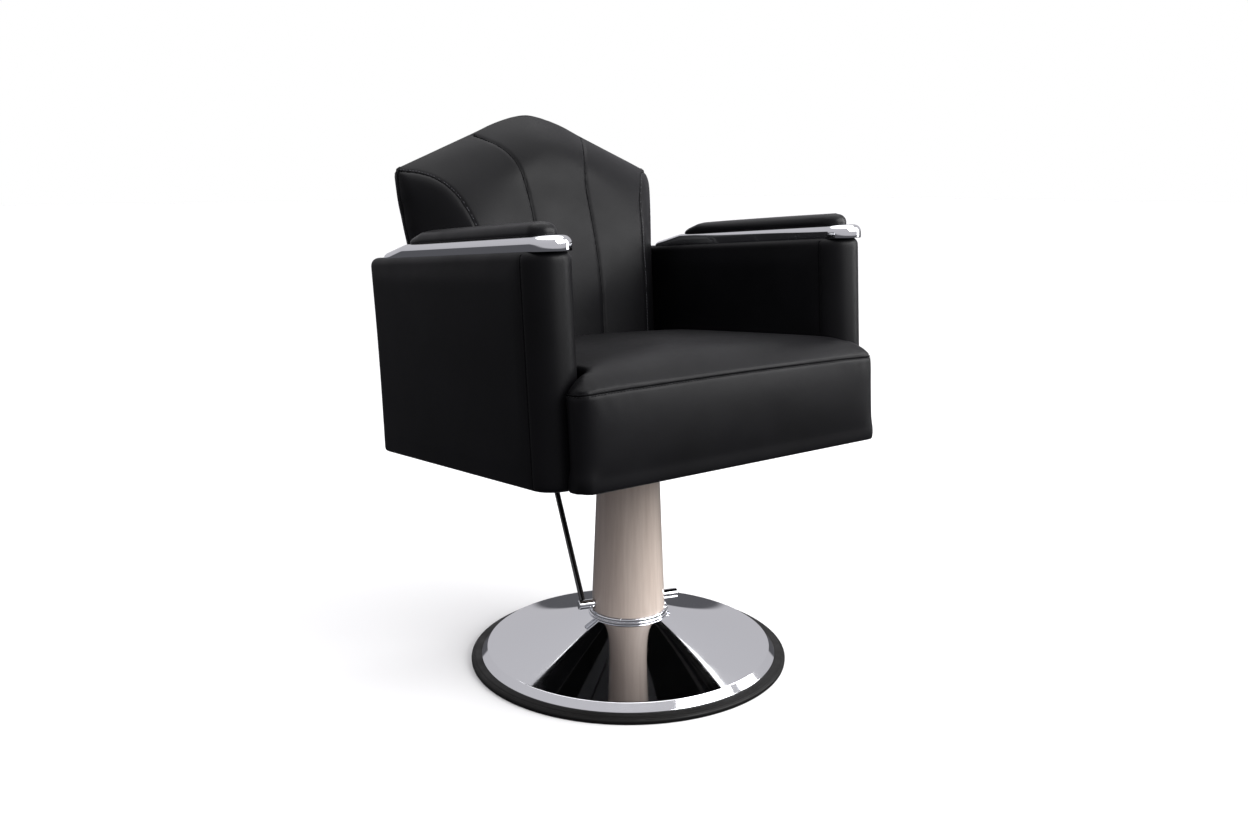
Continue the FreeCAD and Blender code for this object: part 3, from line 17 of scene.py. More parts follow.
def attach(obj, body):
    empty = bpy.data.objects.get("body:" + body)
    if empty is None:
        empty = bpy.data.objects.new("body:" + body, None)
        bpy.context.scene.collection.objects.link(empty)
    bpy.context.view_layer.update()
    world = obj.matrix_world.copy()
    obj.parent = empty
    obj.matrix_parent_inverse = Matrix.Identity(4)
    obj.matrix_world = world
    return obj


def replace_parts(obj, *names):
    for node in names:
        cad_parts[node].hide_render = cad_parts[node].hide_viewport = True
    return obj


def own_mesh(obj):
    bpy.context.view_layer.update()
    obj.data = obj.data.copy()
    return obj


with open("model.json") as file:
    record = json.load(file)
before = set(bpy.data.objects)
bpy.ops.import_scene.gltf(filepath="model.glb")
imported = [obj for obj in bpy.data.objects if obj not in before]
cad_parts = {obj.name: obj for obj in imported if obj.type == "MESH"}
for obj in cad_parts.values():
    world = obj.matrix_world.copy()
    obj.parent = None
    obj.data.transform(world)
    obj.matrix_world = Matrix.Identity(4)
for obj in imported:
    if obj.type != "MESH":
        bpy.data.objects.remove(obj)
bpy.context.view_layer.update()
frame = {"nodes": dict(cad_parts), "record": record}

# %% [markdown]
# ## The seat's own frame
# The upholstery leans back a few degrees on its swivel plate. Drawing every padded
# piece level and tilting it at the end keeps each outline simple, so the lesson has
# one matrix that lifts and leans, taken from the same two values as the CAD.

# %% The seat frame
LEAN = math.radians(4.3)
SEAT_PLANE = 0.407
seat_frame = Matrix.Translation((0, 0, SEAT_PLANE)) @ Matrix.Rotation(-LEAN, 4, "X")
to_level = seat_frame.inverted()
SIT_HALF = 0.2652
ARM_WIDE = 0.0829
ARM_TOP = 0.3545

# %% [markdown]
# ## Finishes
# A finish is a Principled shader with noise that breaks up its colour, its roughness
# and its surface. All of them read Object coordinates in metres, so a scale of 900
# means a pattern of about one millimetre, and it stays put when a piece is exported.

# %% Helpers for finishes
def new_finish(title, colour, roughness, metallic=0.0, **sockets):
    """A material whose uniform values are set straight on the shader."""
    finish = bpy.data.materials.new(title)
    finish.use_nodes = True
    shader = finish.node_tree.nodes["Principled BSDF"]
    shader.inputs["Base Color"].default_value = (*colour, 1)
    shader.inputs["Roughness"].default_value = roughness
    shader.inputs["Metallic"].default_value = metallic
    for socket, value in sockets.items():
        shader.inputs[socket.replace("_", " ")].default_value = value
    finish.diffuse_color = (*colour, 1)
    return finish


def pattern(finish, kind, stretch=(1, 1, 1), **settings):
    """A texture on Object coordinates. Returns its node."""
    tree = finish.node_tree
    place = tree.nodes.new("ShaderNodeTexCoord")
    mapping = tree.nodes.new("ShaderNodeMapping")
    mapping.inputs["Scale"].default_value = stretch
    texture = tree.nodes.new(kind)
    for name, value in settings.items():
        if name in texture.inputs:
            texture.inputs[name].default_value = value
        else:
            setattr(texture, name, value)
    tree.links.new(place.outputs["Object"], mapping.inputs["Vector"])
    tree.links.new(mapping.outputs["Vector"], texture.inputs["Vector"])
    return texture


def value_of(texture):
    """The grey output of a texture, whatever it is called."""
    for name in ("Distance", "Fac"):
        if name in texture.outputs:
            return texture.outputs[name]
    return texture.outputs[0]


def tinted(finish, texture, dark, light, low=0.3, high=0.7):
    """Colour the finish between two tints."""
    tree = finish.node_tree
    ramp = tree.nodes.new("ShaderNodeValToRGB")
    ramp.color_ramp.elements[0].position = low
    ramp.color_ramp.elements[0].color = (*dark, 1)
    ramp.color_ramp.elements[1].position = high
    ramp.color_ramp.elements[1].color = (*light, 1)
    tree.links.new(value_of(texture), ramp.inputs["Fac"])
    tree.links.new(ramp.outputs["Color"], tree.nodes["Principled BSDF"].inputs["Base Color"])


def worn(finish, texture, low, high):
    """Let the roughness wander between two values."""
    tree = finish.node_tree
    spread = tree.nodes.new("ShaderNodeMapRange")
    spread.inputs["From Min"].default_value = 0.3
    spread.inputs["From Max"].default_value = 0.7
    spread.inputs["To Min"].default_value = low
    spread.inputs["To Max"].default_value = high
    tree.links.new(value_of(texture), spread.inputs["Value"])
    tree.links.new(spread.outputs["Result"], tree.nodes["Principled BSDF"].inputs["Roughness"])


def raised(finish, texture, strength, distance, before=None):
    """Add a bump, on top of an earlier one if there is one."""
    tree = finish.node_tree
    bump = tree.nodes.new("ShaderNodeBump")
    bump.inputs["Strength"].default_value = strength
    bump.inputs["Distance"].default_value = distance
    tree.links.new(value_of(texture), bump.inputs["Height"])
    if before:
        tree.links.new(before.outputs["Normal"], bump.inputs["Normal"])
    tree.links.new(bump.outputs["Normal"], tree.nodes["Principled BSDF"].inputs["Normal"])
    return bump


# %% [markdown]
# ### Leatherette
# Upholstery on salon chairs is a coated cloth: an almost black vinyl skin with a fine
# pebble grain and a satin sheen. The grain is a Voronoi pattern of about a millimetre
# over softer creases, and the sheen changes a little where hands and clothes polish it.

# %% Leatherette, arm pads and thread
leatherette = new_finish("leatherette", (0.0042, 0.0042, 0.0048), 0.44, Specular_IOR_Level=0.11)
tinted(leatherette, pattern(leatherette, "ShaderNodeTexNoise", Scale=7.0, Detail=3.0),
       (0.0031, 0.0031, 0.0036), (0.0050, 0.0049, 0.0058))
worn(leatherette, pattern(leatherette, "ShaderNodeTexNoise", Scale=11.0, Detail=4.0), 0.40, 0.50)
crease = raised(leatherette, pattern(leatherette, "ShaderNodeTexNoise", Scale=260.0, Detail=4.0),
                0.10, 0.0006)
raised(leatherette, pattern(leatherette, "ShaderNodeTexVoronoi", Scale=950.0), 0.16, 0.0004, crease)

pad_skin = new_finish("pad_skin", (0.0048, 0.0048, 0.0055), 0.36, Specular_IOR_Level=0.14)
worn(pad_skin, pattern(pad_skin, "ShaderNodeTexNoise", Scale=18.0, Detail=3.0), 0.29, 0.40)
raised(pad_skin, pattern(pad_skin, "ShaderNodeTexVoronoi", Scale=1100.0), 0.10, 0.0003)

thread = new_finish("thread", (0.007, 0.007, 0.008), 0.70, Specular_IOR_Level=0.15)
raised(thread, pattern(thread, "ShaderNodeTexNoise", Scale=4000.0), 0.4, 0.0002)
grey_thread = new_finish("grey_thread", (0.075, 0.075, 0.082), 0.70, Specular_IOR_Level=0.2)
raised(grey_thread, pattern(grey_thread, "ShaderNodeTexNoise", Scale=4000.0), 0.4, 0.0002)
# The welt cords get a darker, duller skin than the leatherette: painted shade of the seam valleys, so each
# seam reads as a dark line.
welt_painted_shade = new_finish("welt_painted_shade", (0.0025, 0.0025, 0.003), 0.60, Specular_IOR_Level=0.06)
raised(welt_painted_shade, pattern(welt_painted_shade, "ShaderNodeTexNoise", Scale=1500.0), 0.2, 0.0002)

# %% [markdown]
# ### Chrome, veneer and rubber
# Chrome plate is almost a perfect mirror, so it needs little: a faint haze of wiping
# marks in its roughness. The column is pale maple under a thick lacquer, which is a
# clear coat over a stretched grain. The ring round the base is soft black rubber.

# %% Chrome, veneer, rubber
chrome = new_finish("chrome_plate", (0.80, 0.81, 0.83), 0.04, 1.0)
worn(chrome, pattern(chrome, "ShaderNodeTexNoise", Scale=22.0, Detail=5.0), 0.025, 0.075)

veneer = new_finish("lacquered_maple", (0.57, 0.48, 0.42), 0.38, Coat_Weight=0.7,
                    Coat_Roughness=0.025, Coat_IOR=1.6)
streaks = pattern(veneer, "ShaderNodeTexNoise", (1, 1, 0.035), Scale=95.0, Detail=7.0, Roughness=0.62)
tinted(veneer, streaks, (0.45, 0.365, 0.31), (0.61, 0.52, 0.455), 0.22, 0.75)
raised(veneer, pattern(veneer, "ShaderNodeTexNoise", (1, 1, 0.03), Scale=420.0, Detail=3.0), 0.05, 0.0003)

rubber = new_finish("black_rubber", (0.005, 0.0048, 0.0046), 0.55, Specular_IOR_Level=0.2)
worn(rubber, pattern(rubber, "ShaderNodeTexNoise", Scale=30.0, Detail=4.0), 0.45, 0.62)
raised(rubber, pattern(rubber, "ShaderNodeTexNoise", Scale=900.0, Detail=3.0), 0.25, 0.0003)

enamel = new_finish("lever_enamel", (0.008, 0.008, 0.009), 0.10, Coat_Weight=1.0, Coat_Roughness=0.04)
worn(enamel, pattern(enamel, "ShaderNodeTexNoise", Scale=60.0, Detail=3.0), 0.08, 0.18)

moulding = new_finish("black_moulding", (0.014, 0.014, 0.014), 0.5)
raised(moulding, pattern(moulding, "ShaderNodeTexNoise", Scale=1600.0), 0.25, 0.0002)

# %% [markdown]
# ### Hidden hardware
# Under the seat there is painted steel, plated screws, stained plywood and a dust
# cloth. Each has its own small scale: powder coat is pebbly, plywood shows its plies
# on the edge, and non-woven cloth is a felt of short fibres.

# %% Hardware finishes
powder_coat = new_finish("powder_coat", (0.018, 0.018, 0.019), 0.45)
worn(powder_coat, pattern(powder_coat, "ShaderNodeTexNoise", Scale=25.0, Detail=4.0), 0.38, 0.52)
raised(powder_coat, pattern(powder_coat, "ShaderNodeTexNoise", Scale=1300.0, Detail=2.0), 0.35, 0.0003)

zinc = new_finish("plated_steel", (0.52, 0.53, 0.55), 0.28, 1.0)
worn(zinc, pattern(zinc, "ShaderNodeTexNoise", Scale=300.0, Detail=5.0), 0.20, 0.38)
raised(zinc, pattern(zinc, "ShaderNodeTexNoise", (1, 1, 0.2), Scale=1500.0), 0.12, 0.0001)

cast_iron = new_finish("cast_iron", (0.055, 0.055, 0.058), 0.6, 0.7)
raised(cast_iron, pattern(cast_iron, "ShaderNodeTexNoise", Scale=500.0, Detail=6.0), 0.5, 0.0006)

bronze = new_finish("turned_bronze", (0.52, 0.35, 0.16), 0.32, 1.0)
worn(bronze, pattern(bronze, "ShaderNodeTexNoise", (1, 1, 6), Scale=300.0), 0.24, 0.42)

plywood = new_finish("stained_plywood", (0.030, 0.028, 0.026), 0.7)
tinted(plywood, pattern(plywood, "ShaderNodeTexNoise", (0.08, 1, 1.4), Scale=160.0, Detail=5.0),
       (0.018, 0.016, 0.015), (0.040, 0.036, 0.032))
raised(plywood, pattern(plywood, "ShaderNodeTexNoise", (0.1, 1, 1), Scale=700.0), 0.2, 0.0003)

dust_cloth = new_finish("dust_cloth", (0.004, 0.004, 0.004), 0.95, Specular_IOR_Level=0.1)
raised(dust_cloth, pattern(dust_cloth, "ShaderNodeTexVoronoi", Scale=600.0), 0.5, 0.0004)

FINISH_OF_SLOT = {
    "chrome": chrome, "rubber": rubber, "veneer": veneer, "cap_plastic": moulding,
    "black_steel": powder_coat, "cast_iron": cast_iron, "steel": zinc, "bronze": bronze,
    "lever_enamel": enamel, "upholstery": leatherette, "arm_pad": pad_skin,
    "plywood": plywood, "dust_cloth": dust_cloth,
}
for part in frame["record"]["subparts"]:
    carried = frame["nodes"][part["node"]]
    for held in carried.material_slots:
        held.material = FINISH_OF_SLOT[part["material_slot"]]
    if not carried.material_slots:
        carried.data.materials.append(FINISH_OF_SLOT[part["material_slot"]])
print(len(frame["nodes"]), "CAD nodes have a finish")

# %% [markdown]
# ## Padded pieces
# Upholstery is foam with a sewn skin pulled over it. The skin bulges between its
# seams and is held flat along them, so each cover is blown up a little by Blender's
# cloth pressure while the seams, the edges against wood and the hidden faces are
# pinned. How far a point may move is capped, so the chair keeps its CAD size.

# %% Helpers for padded pieces
import numpy as np

scene = bpy.context.scene


def points_of(shape):
    """Vertex positions as rows."""
    flat = np.empty(len(shape.vertices) * 3)
    shape.vertices.foreach_get("co", flat)
    return flat.reshape(-1, 3)


def normals_of(shape):
    """Vertex normals as rows."""
    flat = np.empty(len(shape.vertices) * 3)
    shape.vertex_normals.foreach_get("vector", flat)
    return flat.reshape(-1, 3)


def move_points(shape, rows):
    """Write vertex positions back."""
    shape.vertices.foreach_set("co", rows.ravel())
    shape.update()


def put_out(title, shape, finish):
    """Show a mesh as a smooth object with one finish."""
    shape.name = title
    shape.materials.clear()
    shape.materials.append(finish)
    shape.shade_smooth()
    thing = bpy.data.objects.new(title, shape)
    scene.collection.objects.link(thing)
    return thing


def made_real(thing):
    """The mesh that an object's modifiers give. The object itself is removed."""
    bpy.context.view_layer.update()
    seen = thing.evaluated_get(bpy.context.evaluated_depsgraph_get())
    shape = bpy.data.meshes.new_from_object(seen)
    bpy.data.objects.remove(thing)
    return shape


def with_modifier(shape, kind, **settings):
    """Run one modifier over a mesh."""
    thing = bpy.data.objects.new("workpiece", shape)
    scene.collection.objects.link(thing)
    change = thing.modifiers.new("change", kind)
    for name, value in settings.items():
        setattr(change, name, value)
    return made_real(thing)


def level_copy(node, voxel):
    """An even mesh of a CAD cushion, in the seat's level frame."""
    build = bmesh.new()
    build.from_mesh(frame["nodes"][node].data)
    bmesh.ops.remove_doubles(build, verts=build.verts, dist=1e-5)
    bmesh.ops.transform(build, matrix=to_level, verts=build.verts)
    shape = bpy.data.meshes.new(node)
    build.to_mesh(shape)
    build.free()
    return with_modifier(shape, "REMESH", mode="VOXEL", voxel_size=voxel)


def relax(shape, rounds, held):
    """Soften hard edges, except where the skin is held."""
    rows = points_of(shape)
    ends = np.empty(len(shape.edges) * 2, dtype=np.int64)
    shape.edges.foreach_get("vertices", ends)
    ends = ends.reshape(-1, 2)
    ones, others = np.concatenate((ends[:, 0], ends[:, 1])), np.concatenate((ends[:, 1], ends[:, 0]))
    count = np.bincount(ones, minlength=len(rows))[:, None]
    free = 0.5 * (1 - held)[:, None]
    for _ in range(rounds):
        mean = np.stack([np.bincount(ones, rows[others, axis], len(rows)) for axis in range(3)], 1) / count
        rows = rows + free * (mean - rows)
    move_points(shape, rows)


def near_lines(rows, lines, reach):
    """1 on the given lines, falling to 0 at a distance."""
    tree = KDTree(sum(len(line) for line in lines))
    for index, spot in enumerate(spot for line in lines for spot in line):
        tree.insert(spot, index)
    tree.balance()
    away = np.array([tree.find(row)[2] for row in rows])
    return np.clip(1 - away / reach, 0, 1)


def puffed(shape, held, cap, pressure=4.0):
    """Blow a cover up with cloth pressure, but no point further than the cap."""
    start = points_of(shape)
    thing = bpy.data.objects.new("cover", shape)
    scene.collection.objects.link(thing)
    pinned = thing.vertex_groups.new(name="held")
    for index in np.nonzero(held > 0.02)[0]:
        pinned.add([int(index)], float(held[index]), "REPLACE")
    cloth = thing.modifiers.new("cloth", "CLOTH")
    cloth.settings.quality = 4
    cloth.settings.use_pressure = True
    cloth.settings.uniform_pressure_force = pressure
    cloth.settings.effector_weights.gravity = 0.0
    cloth.settings.vertex_group_mass = "held"
    cloth.point_cache.frame_start, cloth.point_cache.frame_end = 1, 20
    for step in range(1, 21):
        scene.frame_set(step)
    seen = thing.evaluated_get(bpy.context.evaluated_depsgraph_get())
    moved = points_of(seen.data) - start
    bpy.data.objects.remove(thing)
    scene.frame_set(1)
    length = np.linalg.norm(moved, axis=1, keepdims=True)
    limit = np.minimum(1, cap / np.maximum(length, 1e-9)) * (1 - held)[:, None]
    move_points(shape, start + moved * limit)
    print("  cloth moved points by up to", round(float(length.max()) * 1000, 1),
          "mm, capped at", cap * 1000)


def smooth_line(corners, step=0.002):
    """A smooth line through corner points."""
    line = []
    spots = [Vector(spot) for spot in (corners[0], *corners, corners[-1])]
    for before, start, end, after in zip(spots, spots[1:], spots[2:], spots[3:]):
        pieces = max(2, int((end - start).length / step))
        for index in range(pieces):
            t = index / pieces
            bend = (2 * before - 5 * start + 4 * end - after) * t ** 2
            swing = (3 * start - before - 3 * end + after) * t ** 3
            line.append(0.5 * (2 * start + (end - before) * t + bend + swing))
    line.append(Vector(corners[-1]))
    return line


def laid_on(shape, line, aim):
    """Project a line along a direction on to a mesh."""
    tree = BVHTree.FromPolygons([v.co for v in shape.vertices], [p.vertices for p in shape.polygons])
    spots = []
    for spot in line:
        hit = tree.ray_cast(Vector(spot) - Vector(aim), Vector(aim))
        if hit[0] is not None:
            spots.append((hit[0], hit[1]))
    return spots


def sewn_in(shape, lines, depth, width):
    """Press a valley along each seam."""
    rows, outward = points_of(shape), normals_of(shape)
    close = near_lines(rows, lines, 4 * width)
    away = (1 - close) * 4 * width
    rows -= outward * (depth * np.exp(-(away / width) ** 2) * (close > 0))[:, None]
    move_points(shape, rows)


def finer(shape):
    """One level of subdivision."""
    return with_modifier(shape, "SUBSURF", levels=1, render_levels=1)


def tilted(title, shape, finish):
    """Lean a level cover back with the seat, and show it as a padded piece on the seat."""
    shape.transform(seat_frame)
    thing = put_out(title, shape, finish)
    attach(thing, "seat")
    print(title, len(shape.polygons), "faces")
    return thing


# %% [markdown]
# ### Slabs with rounded edges
# Arms, arm pads and the rear panel are all flat slabs with a rounded edge. A slab is
# built from loops: the same outline is drawn again and again, a little further in
# and higher up, and the last loop is closed with rows of quads from side to side.

# %% Slab builder
def slab(half_line, layers, across, dome=0.0):
    """A closed slab. half_line(inset) gives the right half of its outline."""
    corners, loops = [], []
    for inset, height in layers:
        half = half_line(inset)
        tail = half[-1]
        loop = list(half)
        loop += [(tail[0] * (1 - 2 * k / across), tail[1]) for k in range(1, across)]
        loop += [(-x, y) for x, y in reversed(half[1:])]
        loops.append([len(corners) + index for index in range(len(loop))])
        corners += [(x, y, height(y) if callable(height) else height) for x, y in loop]
    faces = []
    for low, high in zip(loops, loops[1:]):
        for index in range(len(low)):
            later = (index + 1) % len(low)
            faces.append((low[index], low[later], high[later], high[index]))
    last = len(half_line(0)) - 1
    for side, loop in ((1, loops[-1]), (-1, loops[0])):
        rows = [[loop[0]]]
        for index in range(1, last + 1):
            right, left = loop[index], loop[-index]
            if index == last:
                rows.append([loop[last + k] for k in range(across + 1)])
                continue
            row = [right]
            for k in range(1, across):
                share = k / across
                spot = Vector(corners[right]).lerp(Vector(corners[left]), share)
                spot.z += side * dome * math.sin(math.pi * share) * min(1.0, index / 6, (last - index) / 6)
                row.append(len(corners))
                corners.append(tuple(spot))
            rows.append(row + [left])
        for front, rear in zip(rows, rows[1:]):
            for k in range(across):
                quad = (front[0], rear[k + 1], rear[k]) if len(front) == 1 else \
                    (front[k], front[k + 1], rear[k + 1], rear[k])
                faces.append(quad if side == -1 else tuple(reversed(quad)))
    shape = bpy.data.meshes.new("slab")
    shape.from_pydata(corners, [], faces)
    build = bmesh.new()
    build.from_mesh(shape)
    bmesh.ops.remove_doubles(build, verts=build.verts, dist=1e-6)
    bmesh.ops.recalc_face_normals(build, faces=build.faces)
    build.to_mesh(shape)
    build.free()
    return shape


def bar_plan(half, nose, rear, corner, step):
    """Outline of a bar with a round nose and rounded rear corners."""
    def half_line(inset):
        wide, front, back, turn = half - inset, nose + inset, rear - inset, max(corner - inset, 0.0005)
        line = [(wide * math.sin(a), front + wide * (1 - math.cos(a)))
                for a in (math.pi / 2 * k / 16 for k in range(17))]
        pieces = max(2, int((rear - corner - nose - half) / step))
        start, end = front + wide, back - turn
        line += [(wide, start + (end - start) * k / pieces) for k in range(1, pieces + 1)]
        line += [(wide - turn * (1 - math.cos(a)), back - turn * (1 - math.sin(a)))
                 for a in (math.pi / 2 * k / 6 for k in range(1, 7))]
        return line
    return half_line


def rounded_layers(low, high, foot, edge, step):
    """Loop heights with a rounded foot and a rounded top edge."""
    layers = [(foot * (1 - math.sin(a)), low + foot * (1 - math.cos(a)))
              for a in (math.pi / 2 * k / 4 for k in range(5))]
    pieces = max(1, int((high - edge - low - foot) / step))
    layers += [(0.0, low + foot + (high - edge - low - foot) * k / pieces) for k in range(1, pieces + 1)]
    layers += [(edge * (1 - math.cos(a)), high - edge * (1 - math.sin(a)))
               for a in (math.pi / 2 * k / 6 for k in range(1, 7))]
    return layers


def mirrored_copy(shape):
    """The same mesh on the other side of the chair."""
    twin = shape.copy()
    twin.transform(Matrix.Scale(-1, 4, (1, 0, 0)))
    twin.flip_normals()
    return twin


# %% [markdown]
# ### The arms
# Each arm is a plywood board wrapped in foam and leatherette: flat sides, a full round
# nose and a soft top edge. Upright seams join the nose panel to the sides. The left
# arm is made once and mirrored.

# %% Arm covers
ARM_NOSE, ARM_BACK, SEAM_BACK = -0.2684, 0.3013, -0.2270
arm_middle = SIT_HALF + ARM_WIDE / 2
arm_shape = slab(bar_plan(ARM_WIDE / 2, ARM_NOSE, ARM_BACK, 0.022, 0.009),
                 rounded_layers(0.0, ARM_TOP, 0.008, 0.015, 0.009), 8)
seam_heights = (0.004, 0.10, 0.20, 0.30, ARM_TOP - 0.006)
arm_seams = [smooth_line([(side * ARM_WIDE / 2, SEAM_BACK, z) for z in seam_heights], 0.003)
             for side in (-1, 1)]
rows = points_of(arm_shape)
arm_held = np.maximum.reduce([
    near_lines(rows, arm_seams, 0.010),
    np.clip((rows[:, 2] - ARM_TOP + 0.016) / 0.008, 0, 1),
    np.clip((0.012 - rows[:, 2]) / 0.008, 0, 1),
])
puffed(arm_shape, arm_held, 0.0026)
arm_shape = finer(arm_shape)
sewn_in(arm_shape, arm_seams, 0.0013, 0.0030)
arm_shape.transform(Matrix.Translation((arm_middle, 0, 0)))
arm_lines = [laid_on(arm_shape, [Vector(spot) + Vector((arm_middle + side * 0.001, 0, 0)) for spot in line],
                     (-side * 0.05, 0, 0)) for side, line in zip((-1, 1), arm_seams)]
left_shape = mirrored_copy(arm_shape)
for side, shape in (("right", arm_shape), ("left", left_shape)):
    cover = tilted(f"arm_cover_{side}_skin", shape, leatherette)
    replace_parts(cover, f"arm_cover_{side}")

# %% [markdown]
# ### The seat
# The seat is a deep foam box whose front lip runs across both arms. A welt seam goes
# round it where the crowned top meets the sides, and rises a little at the middle.

# %% Seat cushion
LIP_HALF, LIP_FRONT, WELT = 0.3156, -0.3166, 0.148
seat_shape = level_copy("seat_cushion", 0.007)


def welt_height(x):
    """The welt bows up a few millimetres at mid-span."""
    return WELT + 0.0045 * (1 - (x / LIP_HALF) ** 2)


lip = 0.022
welt_plan = [(-LIP_HALF, -0.2680), (-LIP_HALF, LIP_FRONT + lip)]
welt_plan += [(-LIP_HALF + lip * (1 - math.cos(a)), LIP_FRONT + lip * (1 - math.sin(a)))
              for a in (math.pi / 2 * k / 5 for k in range(1, 5))]
welt_plan += [(-LIP_HALF + lip + (LIP_HALF - lip) * 2 * k / 14, LIP_FRONT) for k in range(15)]
welt_plan += [(-x, y) for x, y in reversed(welt_plan[:6])]
welt = smooth_line([(x, y, welt_height(x)) for x, y in welt_plan], 0.003)
rows = points_of(seat_shape)
seat_hidden = np.maximum.reduce([
    np.clip((0.030 - rows[:, 2]) / 0.008, 0, 1),
    0.8 * np.clip((np.abs(rows[:, 0]) - SIT_HALF + 0.010) / 0.006, 0, 1) * (rows[:, 1] > -0.262),
    0.8 * np.clip((rows[:, 1] - 0.135) / 0.010, 0, 1),
])
relax(seat_shape, 14, 0.85 * np.maximum(seat_hidden, 0.6 * near_lines(rows, [welt], 0.010)))
rows = points_of(seat_shape)
seat_held = np.maximum(seat_hidden, 0.9 * near_lines(rows, [welt], 0.009))
puffed(seat_shape, seat_held, 0.005)
relax(seat_shape, 3, seat_held)
seat_shape = finer(seat_shape)
tree = BVHTree.FromPolygons([v.co for v in seat_shape.vertices], [p.vertices for p in seat_shape.polygons])
welt_spots = [tree.find_nearest(spot)[:2] for spot in welt]
sewn_in(seat_shape, [[spot for spot, _ in welt_spots]], 0.0022, 0.0030)
rows, outward = points_of(seat_shape), normals_of(seat_shape)
pull = near_lines(rows, [[spot for spot, _ in welt_spots]], 0.035)
gathers = np.array([noise.noise(Vector((row[0] * 75, row[1] * 75, row[2] * 14))) for row in rows])
ends = np.clip((np.abs(rows[:, 0]) - 0.19) / 0.10, 0.12, 1)
move_points(seat_shape, rows + outward * (0.0014 * pull * ends * gathers)[:, None])
seat_skin = tilted("seat_cushion_skin", seat_shape, leatherette)
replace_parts(seat_skin, "seat_cushion")

# %% [markdown]
# ### The back
# The back has a broad face that rolls back softly at the top, and a crest that rises
# in the middle. Four seams fan out over it: the inner pair flares at the crest and the
# outer pair runs up to each corner.

# %% The back's outline and its top roll
BACK_CREST_POINTS = 19
BACK_SIDE = [(0.0, 0.6165), (0.030, 0.6125), (0.060, 0.604), (0.087, 0.5935), (0.113, 0.582)]
BACK_SIDE += [(0.113 + 0.171 * k / 14, 0.582 - 0.070 * k / 14) for k in range(1, 15)]
BACK_SIDE += [(0.2832, 0.490), (0.2815, 0.460), (0.279, 0.440), (0.277, 0.431), (0.2735, 0.405),
              (0.270, 0.385), (0.2655, 0.3575)]
BACK_SIDE += [(0.2645, 0.3545 - 0.3545 * k / 30) for k in range(1, 31)]


def roll_depth(drop):
    """How deep the face lies at a distance below the top edge: the arc of the top roll."""
    arc = [(0.0, 0.285), (0.008, 0.2725), (0.018, 0.2585), (0.032, 0.2395), (0.0545, 0.218),
           (0.080, 0.2035), (0.105, 0.193), (0.140, 0.178), (0.180, 0.165), (0.240, 0.153),
           (0.300, 0.150)]
    return np.interp(drop, [d for d, _ in arc], [y for _, y in arc])


# %% [markdown]
# ### The back's cushion
# The face rolls back at the crest in one soft arc, so the CAD cushion's flat front is
# cut back to that arc first. Then it is relaxed, blown up between its four seams, and
# each seam is pulled in. The seam lines are kept for their welts and stitches.

# %% Back cushion
back_shape = level_copy("back_cushion", 0.0065)
inner_plan = [(0.064, 0.02), (0.064, 0.150), (0.065, 0.250), (0.0655, 0.350), (0.066, 0.440),
              (0.069, 0.482), (0.078, 0.520), (0.095, 0.550), (0.122, 0.574)]
outer_plan = [(0.173, 0.02), (0.173, 0.150), (0.174, 0.240), (0.177, 0.320), (0.183, 0.375),
              (0.192, 0.418), (0.203, 0.450), (0.218, 0.475), (0.235, 0.493), (0.254, 0.503),
              (0.270, 0.5065), (0.281, 0.5080)]
back_rows = points_of(back_shape)
back_hidden = np.maximum.reduce([
    np.clip((back_rows[:, 1] - 0.272) / 0.010, 0, 1),
    0.9 * np.clip((0.14 - back_rows[:, 2]) / 0.03, 0, 1),
    0.8 * np.clip((np.abs(back_rows[:, 0]) - SIT_HALF + 0.008) / 0.006, 0, 1) * (back_rows[:, 2] < ARM_TOP),
])
top_edge = np.interp(np.abs(back_rows[:, 0]), *zip(*BACK_SIDE[:BACK_CREST_POINTS]))
below_top = np.maximum(top_edge - back_rows[:, 2], 0)
front = back_rows[:, 1] < 0.284
back_rows[:, 1] = np.where(front, np.maximum(back_rows[:, 1], roll_depth(below_top)), back_rows[:, 1])
move_points(back_shape, back_rows)
relax(back_shape, 12, 0.9 * back_hidden)
plans = [[(side * x, -0.4, z) for x, z in plan] for plan in (inner_plan, outer_plan) for side in (-1, 1)]
back_seams = [[spot for spot, _ in laid_on(back_shape, smooth_line(plan, 0.003), (0, 1.2, 0))]
              for plan in plans]
back_held = np.maximum(back_hidden, 0.95 * near_lines(points_of(back_shape), back_seams, 0.010))
puffed(back_shape, back_held, 0.0028)
relax(back_shape, 2, back_held)
back_shape = finer(back_shape)
back_lines = [laid_on(back_shape, smooth_line(plan, 0.003), (0, 1.2, 0)) for plan in plans]
sewn_in(back_shape, [[spot for spot, _ in line] for line in back_lines], 0.0026, 0.0032)
back_lines = [laid_on(back_shape, smooth_line(plan, 0.003), (0, 1.2, 0)) for plan in plans]
back_skin = tilted("back_cushion_skin", back_shape, leatherette)
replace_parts(back_skin, "back_cushion")

# %% [markdown]
# ### The rear panel
# Behind the cushion a thinner padded panel closes the back. It is the same slab
# idea, drawn with the back's own outline and stood on edge.

# %% Rear panel
PANEL_FACE, BACK_DEPTH = 0.288, 0.318


def back_plan(inset):
    """The back's outline with its top at the nose, drawn in by an inset."""
    line = []
    for index, (x, z) in enumerate(BACK_SIDE):
        before, after = BACK_SIDE[max(index - 1, 0)], BACK_SIDE[min(index + 1, len(BACK_SIDE) - 1)]
        along = Vector((after[0] - before[0], after[1] - before[1])).normalized()
        inward = Vector((along.y, -along.x)) if index else Vector((0, -1))
        x, z = x + inward.x * inset, z + inward.y * inset
        line.append((max(x, 0.0), -max(z, inset)))
    return line


